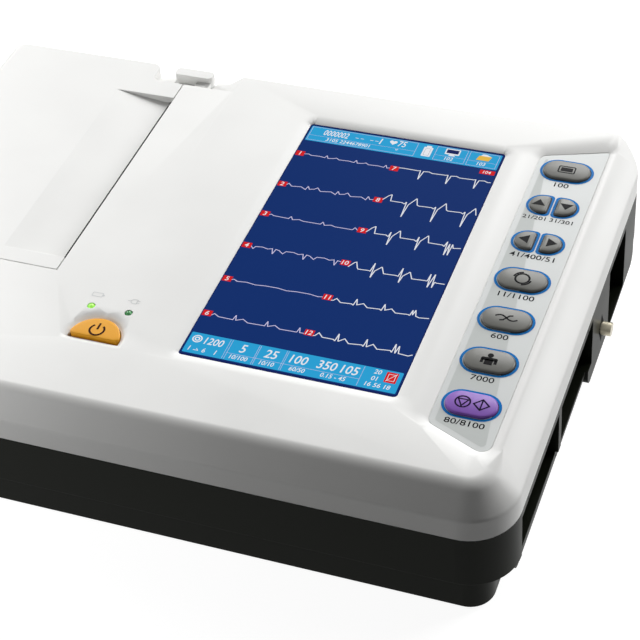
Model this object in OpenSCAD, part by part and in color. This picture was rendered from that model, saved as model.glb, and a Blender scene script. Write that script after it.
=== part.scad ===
// Portable electrocardiograph: a flat desktop case with a colour display, a column of keys
// and a 110 mm thermal recorder under a hinged paper door. Millimetres, +Z up. The origin is
// on the resting plane, at the middle of the overall width and depth.

/* [Case] */
// Width of the case, without the earth stud
case_w = 308; // [300:1:330]
// Depth of the case
case_d = 225; // [220:1:245]
// Height of the flat top above the table
case_h = 62; // [60:0.5:68]
// Height of the light upper shell
cover_h = 20; // [18:0.5:22]
// Height of the upright band of the dark lower shell
band_h = 25; // [22:0.5:27]
// Wall of both shells
wall = 2.6; // [2:0.1:3]
// Slope along the front and right top edges
slope = 10; // [7:0.5:12]
// Plan radius of the two front corners
front_r = 20; // [15:1:24]
// Plan radius of the rear right corner
rear_right_r = 15; // [10:1:20]
// Plan radius of the rear left corner
rear_left_r = 8.5; // [6:0.5:12]
// Step from the side wall in to the base pan
pan_inset = 8; // [6:0.5:10]
// Step from the front and back walls in to the base pan
pan_front_inset = 2; // [1:0.5:4]
// Plan radius of the pan's corners
pan_r = 10; // [6:1:14]
// Height that the rubber feet hold the pan up
foot_h = 2; // [1.5:0.5:4]
// Radius of a rubber foot
foot_r = 7; // [5:0.5:8]

/* [Display] */
// Width of the display window
screen_w = 90; // [80:1:96]
// Depth of the display window, front to back
screen_d = 154.7; // [140:0.5:160]
// Window edge from the case's right side
screen_right = 56; // [54:0.5:60]
// Window edge from the case's back
screen_back = 24.7; // [20:0.1:28]
// Corner radius of the display window
lens_r = 1.5; // [1:0.1:3]
// How far the window sits below the top
screen_sunk = 1.2; // [0.8:0.1:1.6]
// Width of the sloped rim round the window
screen_rim = 5; // [3:0.5:6]
// Thickness of the window
lens_t = 1; // [0.8:0.1:1.5]

/* [Keys] */
// Length of a key, left to right
key_w = 20.4; // [18:0.2:22]
// Depth of a key, front to back
key_d = 12.2; // [10:0.2:14]
// Width of a pair of half keys
pair_w = 19.8; // [17:0.2:21]
// Depth of a pair of half keys, front to back
pair_d = 11; // [9:0.2:12.4]
// Middle of the key column from the case's right side
key_right = 27.7; // [26:0.1:30]
// Middle of the first key row from the case's front
key_front = 49.7; // [46:0.1:54]
// Middle of the last key row from the case's back
key_back = 29.5; // [28:0.1:34]
// Gap between the two halves of a pair
key_split = 3.3; // [2.4:0.1:4]
// How far a key stands above the label
key_proud = 1.6; // [1:0.1:2.2]
// Travel of a key
key_travel = 1; // [0.6:0.1:1.2]
// Depth of the key column's recess
label_sunk = 1.6; // [1:0.1:1.8]
// Thickness of the printed label
label_t = 0.4; // [0.2:0.1:0.6]

/* [Power] */
// Radius of the half-moon power button
power_r = 10.8; // [9:0.1:12]
// Power button to the left of the middle between slot and display
power_off = 2.3; // [0:0.1:4]
// Straight edge of the power button from the case's front
power_front = 43.7; // [40:0.1:48]
// Radius of a status lamp
led_r = 1.6; // [1.4:0.1:2.5]
// Distance between the two status lamps
led_pitch = 16.6; // [14:0.2:20]

/* [Recorder] */
// Width of the chart paper
paper_w = 110; // [100:1:114]
// Radius of a full paper roll
roll_r = 20; // [16:0.5:20.5]
// Paper slot from the case's left side
slot_left = 94.3; // [92:0.1:97]
// Depth of the notch in the back edge
notch_deep = 12.3; // [11:0.1:14]
// Width of the paper slot
slot_gap = 3; // [2.6:0.1:3.4]
// Margin of the paper door in front of the slot
door_margin = 7.8; // [7.6:0.1:10]
// Radius of the door's hinge barrel
barrel_r = 5; // [4.5:0.1:5.5]
// Radius of a hinge pin
pin_r = 1.5; // [1.2:0.1:1.8]
// Length of the paper chute in the door, left to right
chute_w = 26; // [22:1:32]
// Depth of the paper chute at the slot
chute_depth = 3.4; // [3:0.2:4]
// Radius of the platen roller
platen_r = 7; // [6:0.1:7.4]
// Radius of the platen's shaft
shaft_r = 2.5; // [2:0.1:3]
// Tooth size of the drive gears
gear_module = 0.8; // [0.7:0.05:0.85]
// Face width of a drive gear
gear_w = 5; // [3:0.5:6]
// Width of the pull tab
tab_w = 18.6; // [14:0.2:22]

/* [Ports] */
// Depth of the connector recesses in the right side
port_depth = 12; // [10:0.5:14]
// Length that the earth stud stands out of the side
stud_out = 4.5; // [3:0.5:8]
// Radius of the earth stud
stud_r = 3; // [2.5:0.1:3.5]

/* [Battery] */
// Width of the battery pack
battery_w = 74; // [60:1:76]
// Depth of the battery pack, front to back
battery_d = 40; // [36:1:44]
// Height of the battery pack
battery_h = 20; // [16:1:24]

/* [Hidden] */
$fn = 48;
cut = 1;            // overshoot of a cutting tool
fit = 0.3;          // gap round a part that drops into a pocket
press = 0.02;       // radial gap of a fixed pin in its hole
run = 0.05;         // radial gap of a turning shaft in its hole
gap = 0.5;          // gap between moving shells

// The overall box is the case and the earth stud, centred on the origin.
left = -(case_w + stud_out) / 2;
right = left + case_w;
front = -case_d / 2;
back = case_d / 2;
top = case_h;
part_z = top - cover_h;              // parting line of the two shells
step_z = part_z - band_h;            // under the upright band
pan_z = foot_h;
floor_z = pan_z + wall;
under = top - wall;                  // underside of the top panel

// Display
screen_x = right - screen_right - screen_w;
screen_y = back - screen_back - screen_d;
sill_z = top - screen_sunk;
ledge_t = 2;
lens_z = sill_z - lens_t;
bezel = 2;                           // width of the ledge under the window
module_z = lens_z - ledge_t;
module_low = module_z - 5.3;         // underside of the display module

// Keys
key_x = right - key_right;
key_y = front + key_front;
key_end = back - key_back;           // middle of the last of seven rows
key_pitch = (key_end - key_y) / 6;
label_z = top - label_sunk;
key_top = label_z + key_proud;
label_in = 13.5;                     // key column to the label's left edge
label_out = 14.8;                    // key column to the label's right edge
label_taper = 1.7;                   // right edge further in at the front
label_fore = 13.8;
label_aft = 9.3;
label_rake = 8;                      // front and rear edges run out to the right
label_r = 4;
flange_t = 1.4;
flange_z = under - flange_t - 0.1;
key_fit = 0.35;
switch_w = 6;
switch_h = 2.4;
keypad_z = flange_z - key_travel - switch_h - 1;
keypad_w = 26;
keypad_end = 10;                     // board past the middle of its end keys

// Power button
power_x = (left + slot_left + screen_x) / 2 - power_off;
power_y = front + power_front;
power_rise = 0.9;                    // straight edge to the arc's middle
power_sunk = 1.5;
power_top = top + 0.2;
led_y = power_y + power_r + power_rise + 5.5;
power_flange_z = under - power_sunk - flange_t - 0.1;
power_board_z = under - 9;

// Paper door and recorder: the hinge runs along the left edge, the slot is the free edge.
slot_x = left + slot_left;
slot_len = paper_w + 1.6;
notch_y = back - notch_deep;
notch_margin = 15.6;                 // slot's end to the notch
paper_y = notch_y - notch_margin - slot_len / 2;
door_y = paper_y - slot_len / 2 - door_margin;
hinge_x = left + barrel_r;
hinge_z = top - barrel_r;
sill_top = hinge_z - barrel_r - 1.5; // top of the walls under the door
skirt_z = sill_top + gap;
door_x = slot_x - slot_gap;         // along the chute
door_edge = slot_x - gap - 0.1;      // beside the chute, where only the door parts from the cover
chute_z = top - chute_depth;
lip_z = chute_z - wall;
platen_x = slot_x - platen_r - 1.5;
platen_z = lip_z - platen_r - 1.5;
plate_t = 1.5;
plate_front = paper_y - slot_len / 2 - 7;
plate_rear = paper_y + slot_len / 2 + 7;
bracket_t = 2;
bracket_in = 2.6;                    // bracket from the side plate
bush_r = shaft_r + 1.5;
gear_gap = 1.2;
gear_y = plate_rear + gear_gap;
frame_left = platen_x - 19;
frame_right = slot_x + 14;
frame_z = floor_z;
head_x = slot_x - 0.6;
head_t = 1;
head_h = 10;
sink_t = 7;                          // heatsink behind the head
sink_high = 5.5;                     // above and below the platen's axis
sink_low = 12;
fin = 2;
sink_foot_d = 24;
head_spring_r = 2.8;
head_spring_y = slot_len / 2 - 20.8;
head_spring_z = platen_z - 5.5;

// Gear train: platen gear above the idler, motor pinion below and to the right of it.
platen_teeth = 18;
idler_teeth = 22;
pinion_teeth = 14;
backlash = 0.16;
pinion_turn = 48;
idler_z = platen_z - gear_module * (platen_teeth + idler_teeth) / 2;
pinion_reach = gear_module * (idler_teeth + pinion_teeth) / 2;
pinion_x = platen_x + pinion_reach * sin(pinion_turn);
pinion_z = idler_z - pinion_reach * cos(pinion_turn);
idler_phase = 90 + 180 / idler_teeth;
pinion_line = -90 + pinion_turn;
idler_lead = round((pinion_line - idler_phase) * idler_teeth / 360) * 360 / idler_teeth
    + idler_phase - pinion_line;
pinion_phase = pinion_line + 180 - idler_lead * idler_teeth / pinion_teeth + 180 / pinion_teeth;
post_r = 2;
motor_r = 9.5;
motor_l = 18;

// Paper roll and its well
well_t = 2;
well_r = roll_r + 1.8;
roll_x = frame_left - well_r - well_t - 1.5;
roll_z = floor_z + well_r + well_t + 0.6;
well_top = roll_z + 13;
core_r = 6.2;
core_t = 0.9;
journal_r = 3;

// Release latch in the notch behind the slot
notch_z = top - 5.5;
notch_l = slot_x - 16;
notch_r = slot_x + 17;
notch_ramp = 8;
notch_round = 4;                     // the notch's two upright corners in the door
tab_x = slot_x + 1.5;
tab_t = 5.4;
tab_r = 1.8;
ear_y = back - 11;                   // hinge knuckle of the cover
ear_w = 4;
ear_r = 3.2;
ear_off = 0.6;                       // its post beside the hinge axis, clear of the open door
latch_y = back - 6.4;
latch_z = notch_z - 10.5;
arm_w = 6.6;
arm_x = slot_x + 3.7;
latch_pin_r = 1.25;
ear_t = 2.5;

// Shell screws: x and y of each boss
boss_r = 4.5;
boss_in = pan_inset + wall + boss_r + 1;
boss_deep = pan_front_inset + wall + boss_r + 1;
bosses = [
    [left + boss_in, front + boss_deep],
    [(left + right) / 2, front + boss_deep],
    [right - boss_in - 1, front + boss_deep],
    [left + boss_in, back - boss_deep],
    [slot_x + 32, back - boss_deep],
    [right - boss_in - 4, back - boss_deep]
];
screw_r = 1.45;
screw_gap = 0.05;
screw_head_r = 2.9;
screw_head_h = 2.4;
screw_grip = 7;                      // thread in the cover's boss
door_boss = 3;                       // the boss that stands under the paper door

// Side rails under the band
rail_r = 5;
rail_lap = 5;                        // lap over the pan
rail_in = 2.2;                       // front rail in from the outer wall
rail_h = 9;                          // front rail below the band

// Feet
foot_sunk = 1;
foot_in = pan_inset + foot_r + 3;
feet_x = [left + foot_in, right - foot_in];
feet_y = [front + boss_deep + 24, back - boss_deep - 21];

// Battery bay in the floor
battery_x = left + foot_in + foot_r + 2;
battery_y = front + 9;
bay_t = 1.6;
bay_gap = 1.5;
bay_w = battery_w + 2 * bay_gap;
bay_d = battery_d + 2 * bay_gap;
hatch_screw_r = 1.25;
hatch_lug_r = 6;
hatch_lug_t = 1.2;
hatch_x = battery_x + bay_w + bay_t + 3;
hatch_y = battery_y + bay_d / 2;

// Connector recesses: first y, last y, low z and high z, from the case's front and top
port_top = 23.5;
data_end = 131;                      // rear end of the serial and USB recess
mains_len = 30;
mains_mid = (data_end + case_d - rear_right_r - 2) / 2 + 6.5;
ports = [
    [20, 75, 46],
    [79, data_end, 48],
    [mains_mid - mains_len / 2, mains_mid + mains_len / 2, 56]
];
port_wall = 2;
port_x = right - port_depth;
board_t = 1.6;
io_x = port_x - port_wall - 9;
stud_y = front + (ports[1][1] + ports[2][0]) / 2 + 1.8;
stud_z = top - 43;
stud_neck_r = stud_r - 0.5;          // through the wall
stud_nut_r = 5;
stud_nut_t = 3;
usb_d = 14.5;
usb_h = 7;
serial_d = 31;
patient_d = 36;
shell_h = 12.5;
signal_r = 5.5;
inlet_d = 27;
inlet_h = 19.8;
inlet_l = 12;                        // inlet behind the recess
fuse_d = 24;
fuse_h = 6.4;

// Power supply
supply_w = 62;
supply_d = 56;
supply_leg = 6;
supply_hole = 4;
supply_blocks = [[18, 16, 26, 24, 18], [48, 34, 4, 18, 16]];
supply_cans = [[46, 9, 6.5, 18], [8, 30, 5, 14]];
speaker_r = 14;
speaker_h = 7;
supply_x = port_x - port_wall - inlet_l - 3 - supply_w;
supply_y = back - boss_deep - boss_r - 2 - supply_d;

// Main board
board_x = slot_x + 22;
board_y = front + 18;
board_w = 136;
board_d = 100;
board_z = floor_z + 14;

// Parts on the main board: x, y, width, depth and height. The first three are cable sockets.
board_parts = [[70, 30, 30, 6, 5], [3, 66, 7, 24, 6], [124, 44, 6, 34, 6],
    [30, 42, 24, 24, 2.2], [70, 44, 18, 18, 1.8], [30, 78, 20, 12, 1.5], [62, 76, 12, 20, 2.6],
    [104, 44, 14, 34, 8], [20, 12, 40, 7, 6], [98, 82, 14, 14, 9]];
cable_t = 0.5;

// Plan of the case, drawn inset by i from its outer wall.
module plan(i = 0) {
    difference() {
        translate([left + i, front + i]) square([case_w - 2 * i, case_d - 2 * i]);
        corner(left + i, front + i, front_r - i, 1, 1);
        corner(right - i, front + i, front_r - i, -1, 1);
        corner(right - i, back - i, rear_right_r - i, -1, -1);
        corner(left + i, back - i, rear_left_r - i, 1, -1);
    }
}

// What a rounded corner of radius r takes off a square one at x, y.
module corner(x, y, r, sx, sy) {
    difference() {
        translate([x + (sx > 0 ? -cut : -r), y + (sy > 0 ? -cut : -r)]) square(r + cut);
        translate([x + sx * r, y + sy * r]) circle(r, $fn = 64);
    }
}

module round_rect(w, d, r) {
    translate([r, 0]) square([w - 2 * r, d]);
    translate([0, r]) square([w, d - 2 * r]);
    for (x = [r, w - r], y = [r, d - r]) translate([x, y]) circle(r);
}

module box(x, y, z) {
    translate([x[0], y[0], z[0]]) cube([x[1] - x[0], y[1] - y[0], z[1] - z[0]]);
}

// A shape drawn in x and z, pushed from y0 back to y1.
module along_y(y0, y1) {
    translate([0, y1, 0]) rotate([90, 0, 0]) linear_extrude(y1 - y0) children();
}

// A shape drawn in y and z, pushed from x0 right to x1.
module along_x(x0, x1) {
    translate([x0, 0, 0]) rotate([90, 0, 90]) linear_extrude(x1 - x0) children();
}

module rod_y(x, z, r, y0, y1) {
    translate([x, y1, z]) rotate([90, 0, 0]) cylinder(h = y1 - y0, r = r);
}

module rod_x(y, z, r, x0, x1) {
    translate([x0, y, z]) rotate([0, 90, 0]) cylinder(h = x1 - x0, r = r);
}

// Upper half of the case, inset by i, with the slope along its front and right edges.
module cover_form(i = 0) {
    c = slope - i * (2 - sqrt(2));
    high = top - i;
    difference() {
        translate([0, 0, part_z - (i > 0 ? cut : 0)])
            linear_extrude(high - part_z + (i > 0 ? cut : 0)) plan(i);
        along_x(left - cut, right + cut) polygon([
            [front + i - cut, high - c - cut], [front + i + c + cut, high + cut],
            [front + i - cut, high + cut]]);
        along_y(front - cut, back + cut) polygon([
            [right - i + cut, high - c - cut], [right - i - c - cut, high + cut],
            [right - i + cut, high + cut]]);
        difference() {
            box([right - front_r, right + cut], [front - cut, front + front_r], [high - c, high + cut]);
            translate([right - front_r, front + front_r, high - c])
                cylinder(h = c + 2 * cut, r1 = front_r - i, r2 = front_r - i - c - 2 * cut, $fn = 64);
        }
    }
}

module bottom_case() {
    color("#3b3d38") difference() {
        union() {
            difference() {
                case_base();
                translate([0, 0, step_z + wall]) linear_extrude(band_h) plan(wall);
                translate([left + pan_inset + wall, front + pan_front_inset + wall, floor_z])
                    linear_extrude(band_h)
                        round_rect(case_w - 2 * (pan_inset + wall),
                            case_d - 2 * (pan_front_inset + wall), pan_r - wall);
            }
            for (p = ports) port_box(p, port_wall);
            for (b = bosses) translate([b[0], b[1], pan_z]) cylinder(h = part_z - pan_z, r = boss_r);
            battery_bay();
            standoffs();
        }
        for (p = ports) port_box(p, 0);
        port_holes();
        for (b = bosses) translate([b[0], b[1], pan_z - cut]) {
            cylinder(h = screw_head_h + cut + 0.6, r = screw_head_r + 0.2);
            cylinder(h = part_z, r = screw_r + screw_gap);
        }
        for (x = feet_x, y = feet_y) translate([x, y, pan_z - cut])
            cylinder(h = foot_sunk + cut, r = foot_r + 0.1);
        box([battery_x, battery_x + bay_w], [battery_y, battery_y + bay_d], [pan_z - cut, floor_z + cut]);
        vents();
        hatch_screw_hole();
    }
}

// The outer body of the lower shell: band, pan and the lower side rails.
module case_base() {
    translate([0, 0, step_z]) linear_extrude(band_h) plan();
    translate([left + pan_inset, front + pan_front_inset, pan_z]) linear_extrude(band_h)
        round_rect(case_w - 2 * pan_inset, case_d - 2 * pan_front_inset, pan_r);
    for (x = [left + rail_in, right - pan_inset - rail_lap]) along_x(x, x + pan_inset + rail_lap - rail_in)
        rail(front + front_r - 2, ports[1][1] + front + 6, step_z - rail_h, rail_r);
    for (x = [left, right - pan_inset - rail_lap]) along_x(x, x + pan_inset + rail_lap)
        rail(ports[1][1] + front - 6, back - rear_right_r, pan_z + 3, rail_r);
}

// Side view of a rail under the band, from y0 to y1 and down to z, with round lower corners.
module rail(y0, y1, z, r) {
    translate([y0 + r, z]) square([y1 - y0 - 2 * r, step_z - z + wall]);
    translate([y0, z + r]) square([y1 - y0, step_z - z - r + wall]);
    for (y = [y0 + r, y1 - r]) translate([y, z + r]) circle(r);
}

// A connector recess, or with grow the box that walls it in.
module port_box(p, grow) {
    box([port_x - grow, right + (grow > 0 ? -wall / 2 : cut)],
        [front + p[0] - grow, front + p[1] + grow], [top - p[2] - (grow > 0 ? port_wall : 0),
        top - port_top + (grow > 0 ? port_wall : 0)]);
}

module standoffs() {
    for (p = board_posts()) translate([p[0], p[1], pan_z + wall / 2])
        cylinder(h = board_z - pan_z - wall / 2, r = 3.5);
}

function board_posts() = [for (x = [board_x + 6, board_x + board_w - 6],
    y = [board_y + 6, board_y + board_d - 6]) [x, y]];

module battery_bay() {
    difference() {
        box([battery_x - bay_t, battery_x + bay_w + bay_t], [battery_y - bay_t, battery_y + bay_d + bay_t],
            [pan_z + wall / 2, floor_z + battery_h + 2]);
        box([battery_x, battery_x + bay_w], [battery_y, battery_y + bay_d], [pan_z, case_h]);
    }
    translate([hatch_x, hatch_y, pan_z]) cylinder(h = 10, r = 4);
}

module hatch_screw_hole() {
    translate([hatch_x, hatch_y, pan_z - cut]) cylinder(h = 7, r = hatch_screw_r + screw_gap);
    translate([hatch_x - 3, hatch_y, pan_z - cut]) cylinder(h = hatch_lug_t + cut, r = hatch_lug_r + 0.2);
}

// Cooling slots in the floor below the power supply.
module vents() {
    slot_n = 7;
    for (i = [0:slot_n - 1]) translate([supply_x + 8, supply_y + 8 + i * 6, pan_z - cut])
        linear_extrude(wall + 2 * cut) round_rect(30, 2.4, 1);
}

module rubber_feet() {
    color("#1d1d1c") for (x = feet_x, y = feet_y) translate([x, y, 0]) {
        cylinder(h = foot_h * 0.4, r1 = foot_r - 0.8, r2 = foot_r);
        translate([0, 0, foot_h * 0.4]) cylinder(h = foot_h * 0.6 + foot_sunk, r = foot_r);
    }
}

module battery_cover() {
    ribs = 5;
    color("#3b3d38") difference() {
        union() {
            box([battery_x + fit, battery_x + bay_w - fit], [battery_y + fit, battery_y + bay_d - fit],
                [pan_z, floor_z - 0.4]);
            translate([hatch_x - 3, hatch_y, pan_z]) cylinder(h = hatch_lug_t, r = hatch_lug_r);
        }
        translate([hatch_x, hatch_y, pan_z - cut]) cylinder(h = 4, r = hatch_screw_r + screw_gap);
        for (i = [0:ribs - 1]) translate([battery_x + 8 + i * 4, hatch_y - 6, pan_z - cut])
            cube([1.6, 12, cut + 0.6]);
    }
}

module battery_pack() {
    color("#2f5d9b") translate([battery_x + bay_gap, battery_y + bay_gap, floor_z])
        linear_extrude(battery_h) round_rect(battery_w, battery_d, 4);
}

module battery_screw() {
    color("silver") translate([hatch_x, hatch_y, 0]) {
        translate([0, 0, pan_z - 1.4]) cylinder(h = 1.4, r = 2.3);
        translate([0, 0, pan_z]) cylinder(h = 5.5, r = hatch_screw_r);
    }
}

module case_screws() {
    color("silver") for (i = [0:len(bosses) - 1]) translate([bosses[i][0], bosses[i][1], 0]) {
        reach = i == door_boss ? 5 : screw_grip;
        head_z = pan_z + 0.6;
        difference() {
            translate([0, 0, head_z]) cylinder(h = screw_head_h, r = screw_head_r);
            translate([0, 0, head_z - cut]) cylinder(h = cut + 1.4, r = 1.3, $fn = 6);
        }
        translate([0, 0, head_z + screw_head_h])
            cylinder(h = part_z + reach - head_z - screw_head_h, r = screw_r);
    }
}

module top_cover() {
    color("#ececea") difference() {
        union() {
            difference() {
                cover_form();
                cover_form(wall);
                door_opening();
            }
            intersection() {
                cover_form();
                union() {
                    rear_hinge_ear();
                    notch_shelf();
                }
            }
            screen_frame();
            key_floor();
            power_floor();
            intersection() {
                cover_form(wall / 2);
                for (i = [0:len(bosses) - 1]) cover_boss(i);
            }
            front_hinge_boss();
            notch_walls();
        }
        notch_cut();
        screen_cut();
        key_cut();
        power_cut();
        hinge_bores();
        for (b = bosses) translate([b[0], b[1], part_z - cut])
            cylinder(h = screw_grip + 2 * cut, r = screw_r + screw_gap);
    }
}

// Boss i for a shell screw. The one under the door stops below the sill and is webbed to the wall.
module cover_boss(i) {
    b = bosses[i];
    high = i == door_boss ? sill_top : under + wall / 2;
    translate([b[0], b[1], part_z]) cylinder(h = high - part_z, r = boss_r);
    if (i == door_boss) {
        box([left + wall / 2, b[0]], [b[1] - 1.2, b[1] + 1.2], [part_z + 2, sill_top]);
        box([b[0] - 1.2, b[0] + 1.2], [b[1], back - wall / 2], [part_z + 2, sill_top]);
    }
}

// Ledge that carries the display window.
module screen_frame() {
    box([screen_x - 3, screen_x + screen_w + 3], [screen_y - 3, screen_y + screen_d + 3],
        [module_z, under + wall / 2]);
}

// The window's outline grown by g, from z0 up to z1.
module lens_shape(g, z0, z1) {
    translate([screen_x - g, screen_y - g, z0]) linear_extrude(z1 - z0)
        round_rect(screen_w + 2 * g, screen_d + 2 * g, lens_r + g, $fn = 32);
}

module screen_cut() {
    hull() {
        lens_shape(0, sill_z - 0.01, sill_z);
        lens_shape(screen_rim, top, top + 0.01);
    }
    lens_shape(0.15, lens_z, top);
    box([screen_x + bezel, screen_x + screen_w - bezel], [screen_y + bezel, screen_y + screen_d - bezel],
        [module_z - cut, top]);
}

// Corners of the key label, front left first and round to the rear left.
label_pts = [
    [key_x - label_in, key_y - label_fore],
    [key_x + label_out - label_taper, key_y - label_fore - label_rake],
    [key_x + label_out, key_end + label_aft + label_rake],
    [key_x - label_in, key_end + label_aft]
];

// The label's outline, grown by g, with its two left corners and the front right one round.
module label_shape(g, z, t) {
    translate([0, 0, z]) hull() for (i = [0:3]) {
        r = i == 2 ? label_t * 2 : label_r;
        sx = i == 0 || i == 3 ? 1 : -1;
        sy = i < 2 ? 1 : -1;
        translate([label_pts[i][0] + sx * r, label_pts[i][1] + sy * r, 0])
            cylinder(h = t, r = r + g, $fn = 32);
    }
}

module key_floor() {
    label_shape(1, under - wall + 1, wall);
}

module key_cut() {
    hull() {
        label_shape(0.6, label_z, 0.01);
        label_shape(5, top, 0.01);
    }
    label_shape(0.15, label_z - label_t, label_t + 0.1);
    for (k = keys) key_solid(k, key_fit, flange_z - cut, top);
    for (k = keys) key_solid(k, key_fit + 1, flange_z - cut, under);
}

module power_shape(g) {
    intersection() {
        translate([power_x, power_y + power_rise]) circle(power_r + g, $fn = 64);
        translate([power_x - 2 * power_r, power_y - g]) square(4 * power_r);
    }
}

module power_floor() {
    translate([0, 0, under - power_sunk]) linear_extrude(wall) power_shape(5);
}

module power_cut() {
    hull() {
        translate([0, 0, top - power_sunk]) linear_extrude(0.01) power_shape(0.8);
        translate([0, 0, top]) linear_extrude(0.01) power_shape(3.2);
    }
    translate([0, 0, under - power_sunk - cut]) linear_extrude(wall + 2 * cut) power_shape(key_fit);
    for (x = [-1, 1]) translate([power_x + x * led_pitch / 2, led_y, under - cut])
        cylinder(h = wall + 2 * cut, r = led_r + 0.1);
}

module door_opening() {
    box([left - cut, slot_x], [door_y - gap, back + cut], [sill_top, top + cut]);
}

// Solid corner that the front hinge pin is pressed into.
module front_hinge_boss() {
    intersection() {
        box([left + wall / 2, hinge_x + barrel_r], [door_y - gap - 14, door_y - gap],
            [hinge_z - barrel_r, top]);
        cover_form();
    }
}

// Knuckle of the cover between the two parts of the door's barrel.
module rear_hinge_ear() {
    along_y(ear_y, ear_y + ear_w) {
        translate([hinge_x, hinge_z]) circle(ear_r);
        translate([hinge_x - ear_off, part_z + 3]) square([ear_off + ear_r, hinge_z - part_z - 3]);
        translate([hinge_x - barrel_r, part_z + 3]) square([barrel_r + ear_r, sill_top - part_z - 3]);
    }
}

// Floor of the notch below the part of the pull tab that reaches over the door.
module notch_shelf() {
    box([tab_x - tab_w / 2 - 0.6 + gap, slot_x + 0.1], [notch_y + gap, back], [notch_z - 3.5, notch_z]);
}

module hinge_bores() {
    rod_y(hinge_x, hinge_z, pin_r + press, door_y - gap - 10, ear_y + ear_w + cut);
}

// Walls and floor of the notch on the body's side of the slot, with the latch's two ears.
module notch_walls() {
    intersection() {
        union() {
            box([slot_x, notch_r + notch_ramp + 2], [notch_y - 2, back], [notch_z - 2, top]);
            for (x = [arm_x - 0.3 - ear_t, arm_x + arm_w + 0.3])
                box([x, x + ear_t], [latch_y - 4, latch_y + 3.6], [latch_z - 4, notch_z]);
        }
        cover_form();
    }
}

module notch_cut() {
    along_y(notch_y, back + cut) polygon([[slot_x - cut, notch_z], [notch_r, notch_z],
        [notch_r + notch_ramp, top + 0.01], [notch_r + notch_ramp, top + cut], [slot_x - cut, top + cut]]);
    // room for the arm to swing back
    box([arm_x - 0.3, arm_x + arm_w + 0.3], [latch_y - 3, back - wall], [latch_z - 6, notch_z + cut]);
    // the back wall is lower behind the tab
    box([tab_x - tab_w / 2 - 1, tab_x + tab_w / 2 + 1], [back - wall - 0.1, back + cut],
        [notch_z - 1.7, notch_z + cut]);
    rod_x(latch_y, latch_z, latch_pin_r + press, arm_x - 0.3 - ear_t - cut,
        arm_x + arm_w + 0.3 + ear_t + cut);
}

module display_window() {
    color("#0c1326") lens_shape(0, lens_z, sill_z);
}

module display_gasket() {
    color("#222222") difference() {
        box([screen_x - 1, screen_x + screen_w + 1], [screen_y - 1, screen_y + screen_d + 1],
            [module_z - 0.8, module_z]);
        box([screen_x + bezel, screen_x + screen_w - bezel],
            [screen_y + bezel, screen_y + screen_d - bezel], [module_z - cut, module_z + cut]);
    }
}

module lcd_module() {
    color("#12326f") {
        box([screen_x + bezel + fit, screen_x + screen_w - bezel - fit],
            [screen_y + bezel + fit, screen_y + screen_d - bezel - fit], [module_z - 1, lens_z - 0.1]);
        box([screen_x - 1, screen_x + screen_w + 1], [screen_y - 1, screen_y + screen_d + 1],
            [module_low, module_z - 0.8]);
    }
}

// Keys: row, and half of a split pair (-1 left, 1 right, 0 a whole key)
keys = [[0, 0], [1, 0], [2, 0], [3, 0], [4, -1], [4, 1], [5, -1], [5, 1], [6, 0]];

module key_shape(k, g) {
    y = key_y + k[0] * key_pitch;
    w = k[1] == 0 ? key_w : pair_w;
    d = k[1] == 0 ? key_d : pair_d;
    intersection() {
        translate([key_x, y]) {
            translate([-(w - d) / 2, -d / 2 - g]) square([w - d, d + 2 * g]);
            for (s = [-1, 1]) translate([s * (w - d) / 2, 0]) circle(d / 2 + g);
        }
        if (k[1] == 0) translate([key_x - key_w, y - key_d]) square([2 * key_w, 2 * key_d]);
        if (k[1] != 0) translate([key_x + (k[1] > 0 ? key_split / 2 - g : -key_split / 2 + g - key_w),
            y - key_d]) square([key_w, 2 * key_d]);
    }
}

module key_solid(k, g, z0, z1) {
    translate([0, 0, z0]) linear_extrude(z1 - z0) key_shape(k, g);
}

module key(i, shade) {
    color(shade) {
        key_solid(keys[i], 0, flange_z, key_top);
        key_solid(keys[i], 0.8, flange_z, flange_z + flange_t);
    }
}

module key_label() {
    color("#d5dad7") difference() {
        label_shape(0, label_z - label_t, label_t);
        for (k = keys) key_solid(k, key_fit, label_z - cut, top);
    }
}

module keypad_board() {
    color("#2c6e49") {
        box([key_x - keypad_w / 2, key_x + keypad_w / 2], [key_y - keypad_end, key_end + keypad_end],
            [keypad_z - board_t, keypad_z]);
        for (k = keys)
            translate([key_x + k[1] * (pair_w + key_split) / 4, key_y + k[0] * key_pitch, keypad_z]) {
                translate([-switch_w / 2, -switch_w / 2, 0]) cube([switch_w, switch_w, switch_h]);
                cylinder(h = switch_h + 0.7, r = switch_w / 4);
            }
        for (x = [key_x - keypad_w / 2 + 3, key_x + keypad_w / 2 - 3],
            y = [key_y + key_pitch / 2, key_end - key_pitch / 2])
            translate([x, y, keypad_z]) cylinder(h = under - wall + 1 - keypad_z, r = 2);
    }
}

module power_button() {
    color("#e2a83c") translate([0, 0, power_flange_z]) {
        linear_extrude(power_top - power_flange_z) power_shape(0);
        linear_extrude(flange_t) power_shape(1);
    }
}

module status_lamps() {
    color("#2f9d3a") for (x = [-1, 1]) translate([power_x + x * led_pitch / 2, led_y, 0]) {
        translate([0, 0, under - 4.5]) cylinder(h = 1, r = led_r + 0.4);
        translate([0, 0, under - 4.5]) cylinder(h = top - under + 3.4, r = led_r);
        translate([0, 0, top - 1.1]) sphere(led_r);
    }
}

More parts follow.
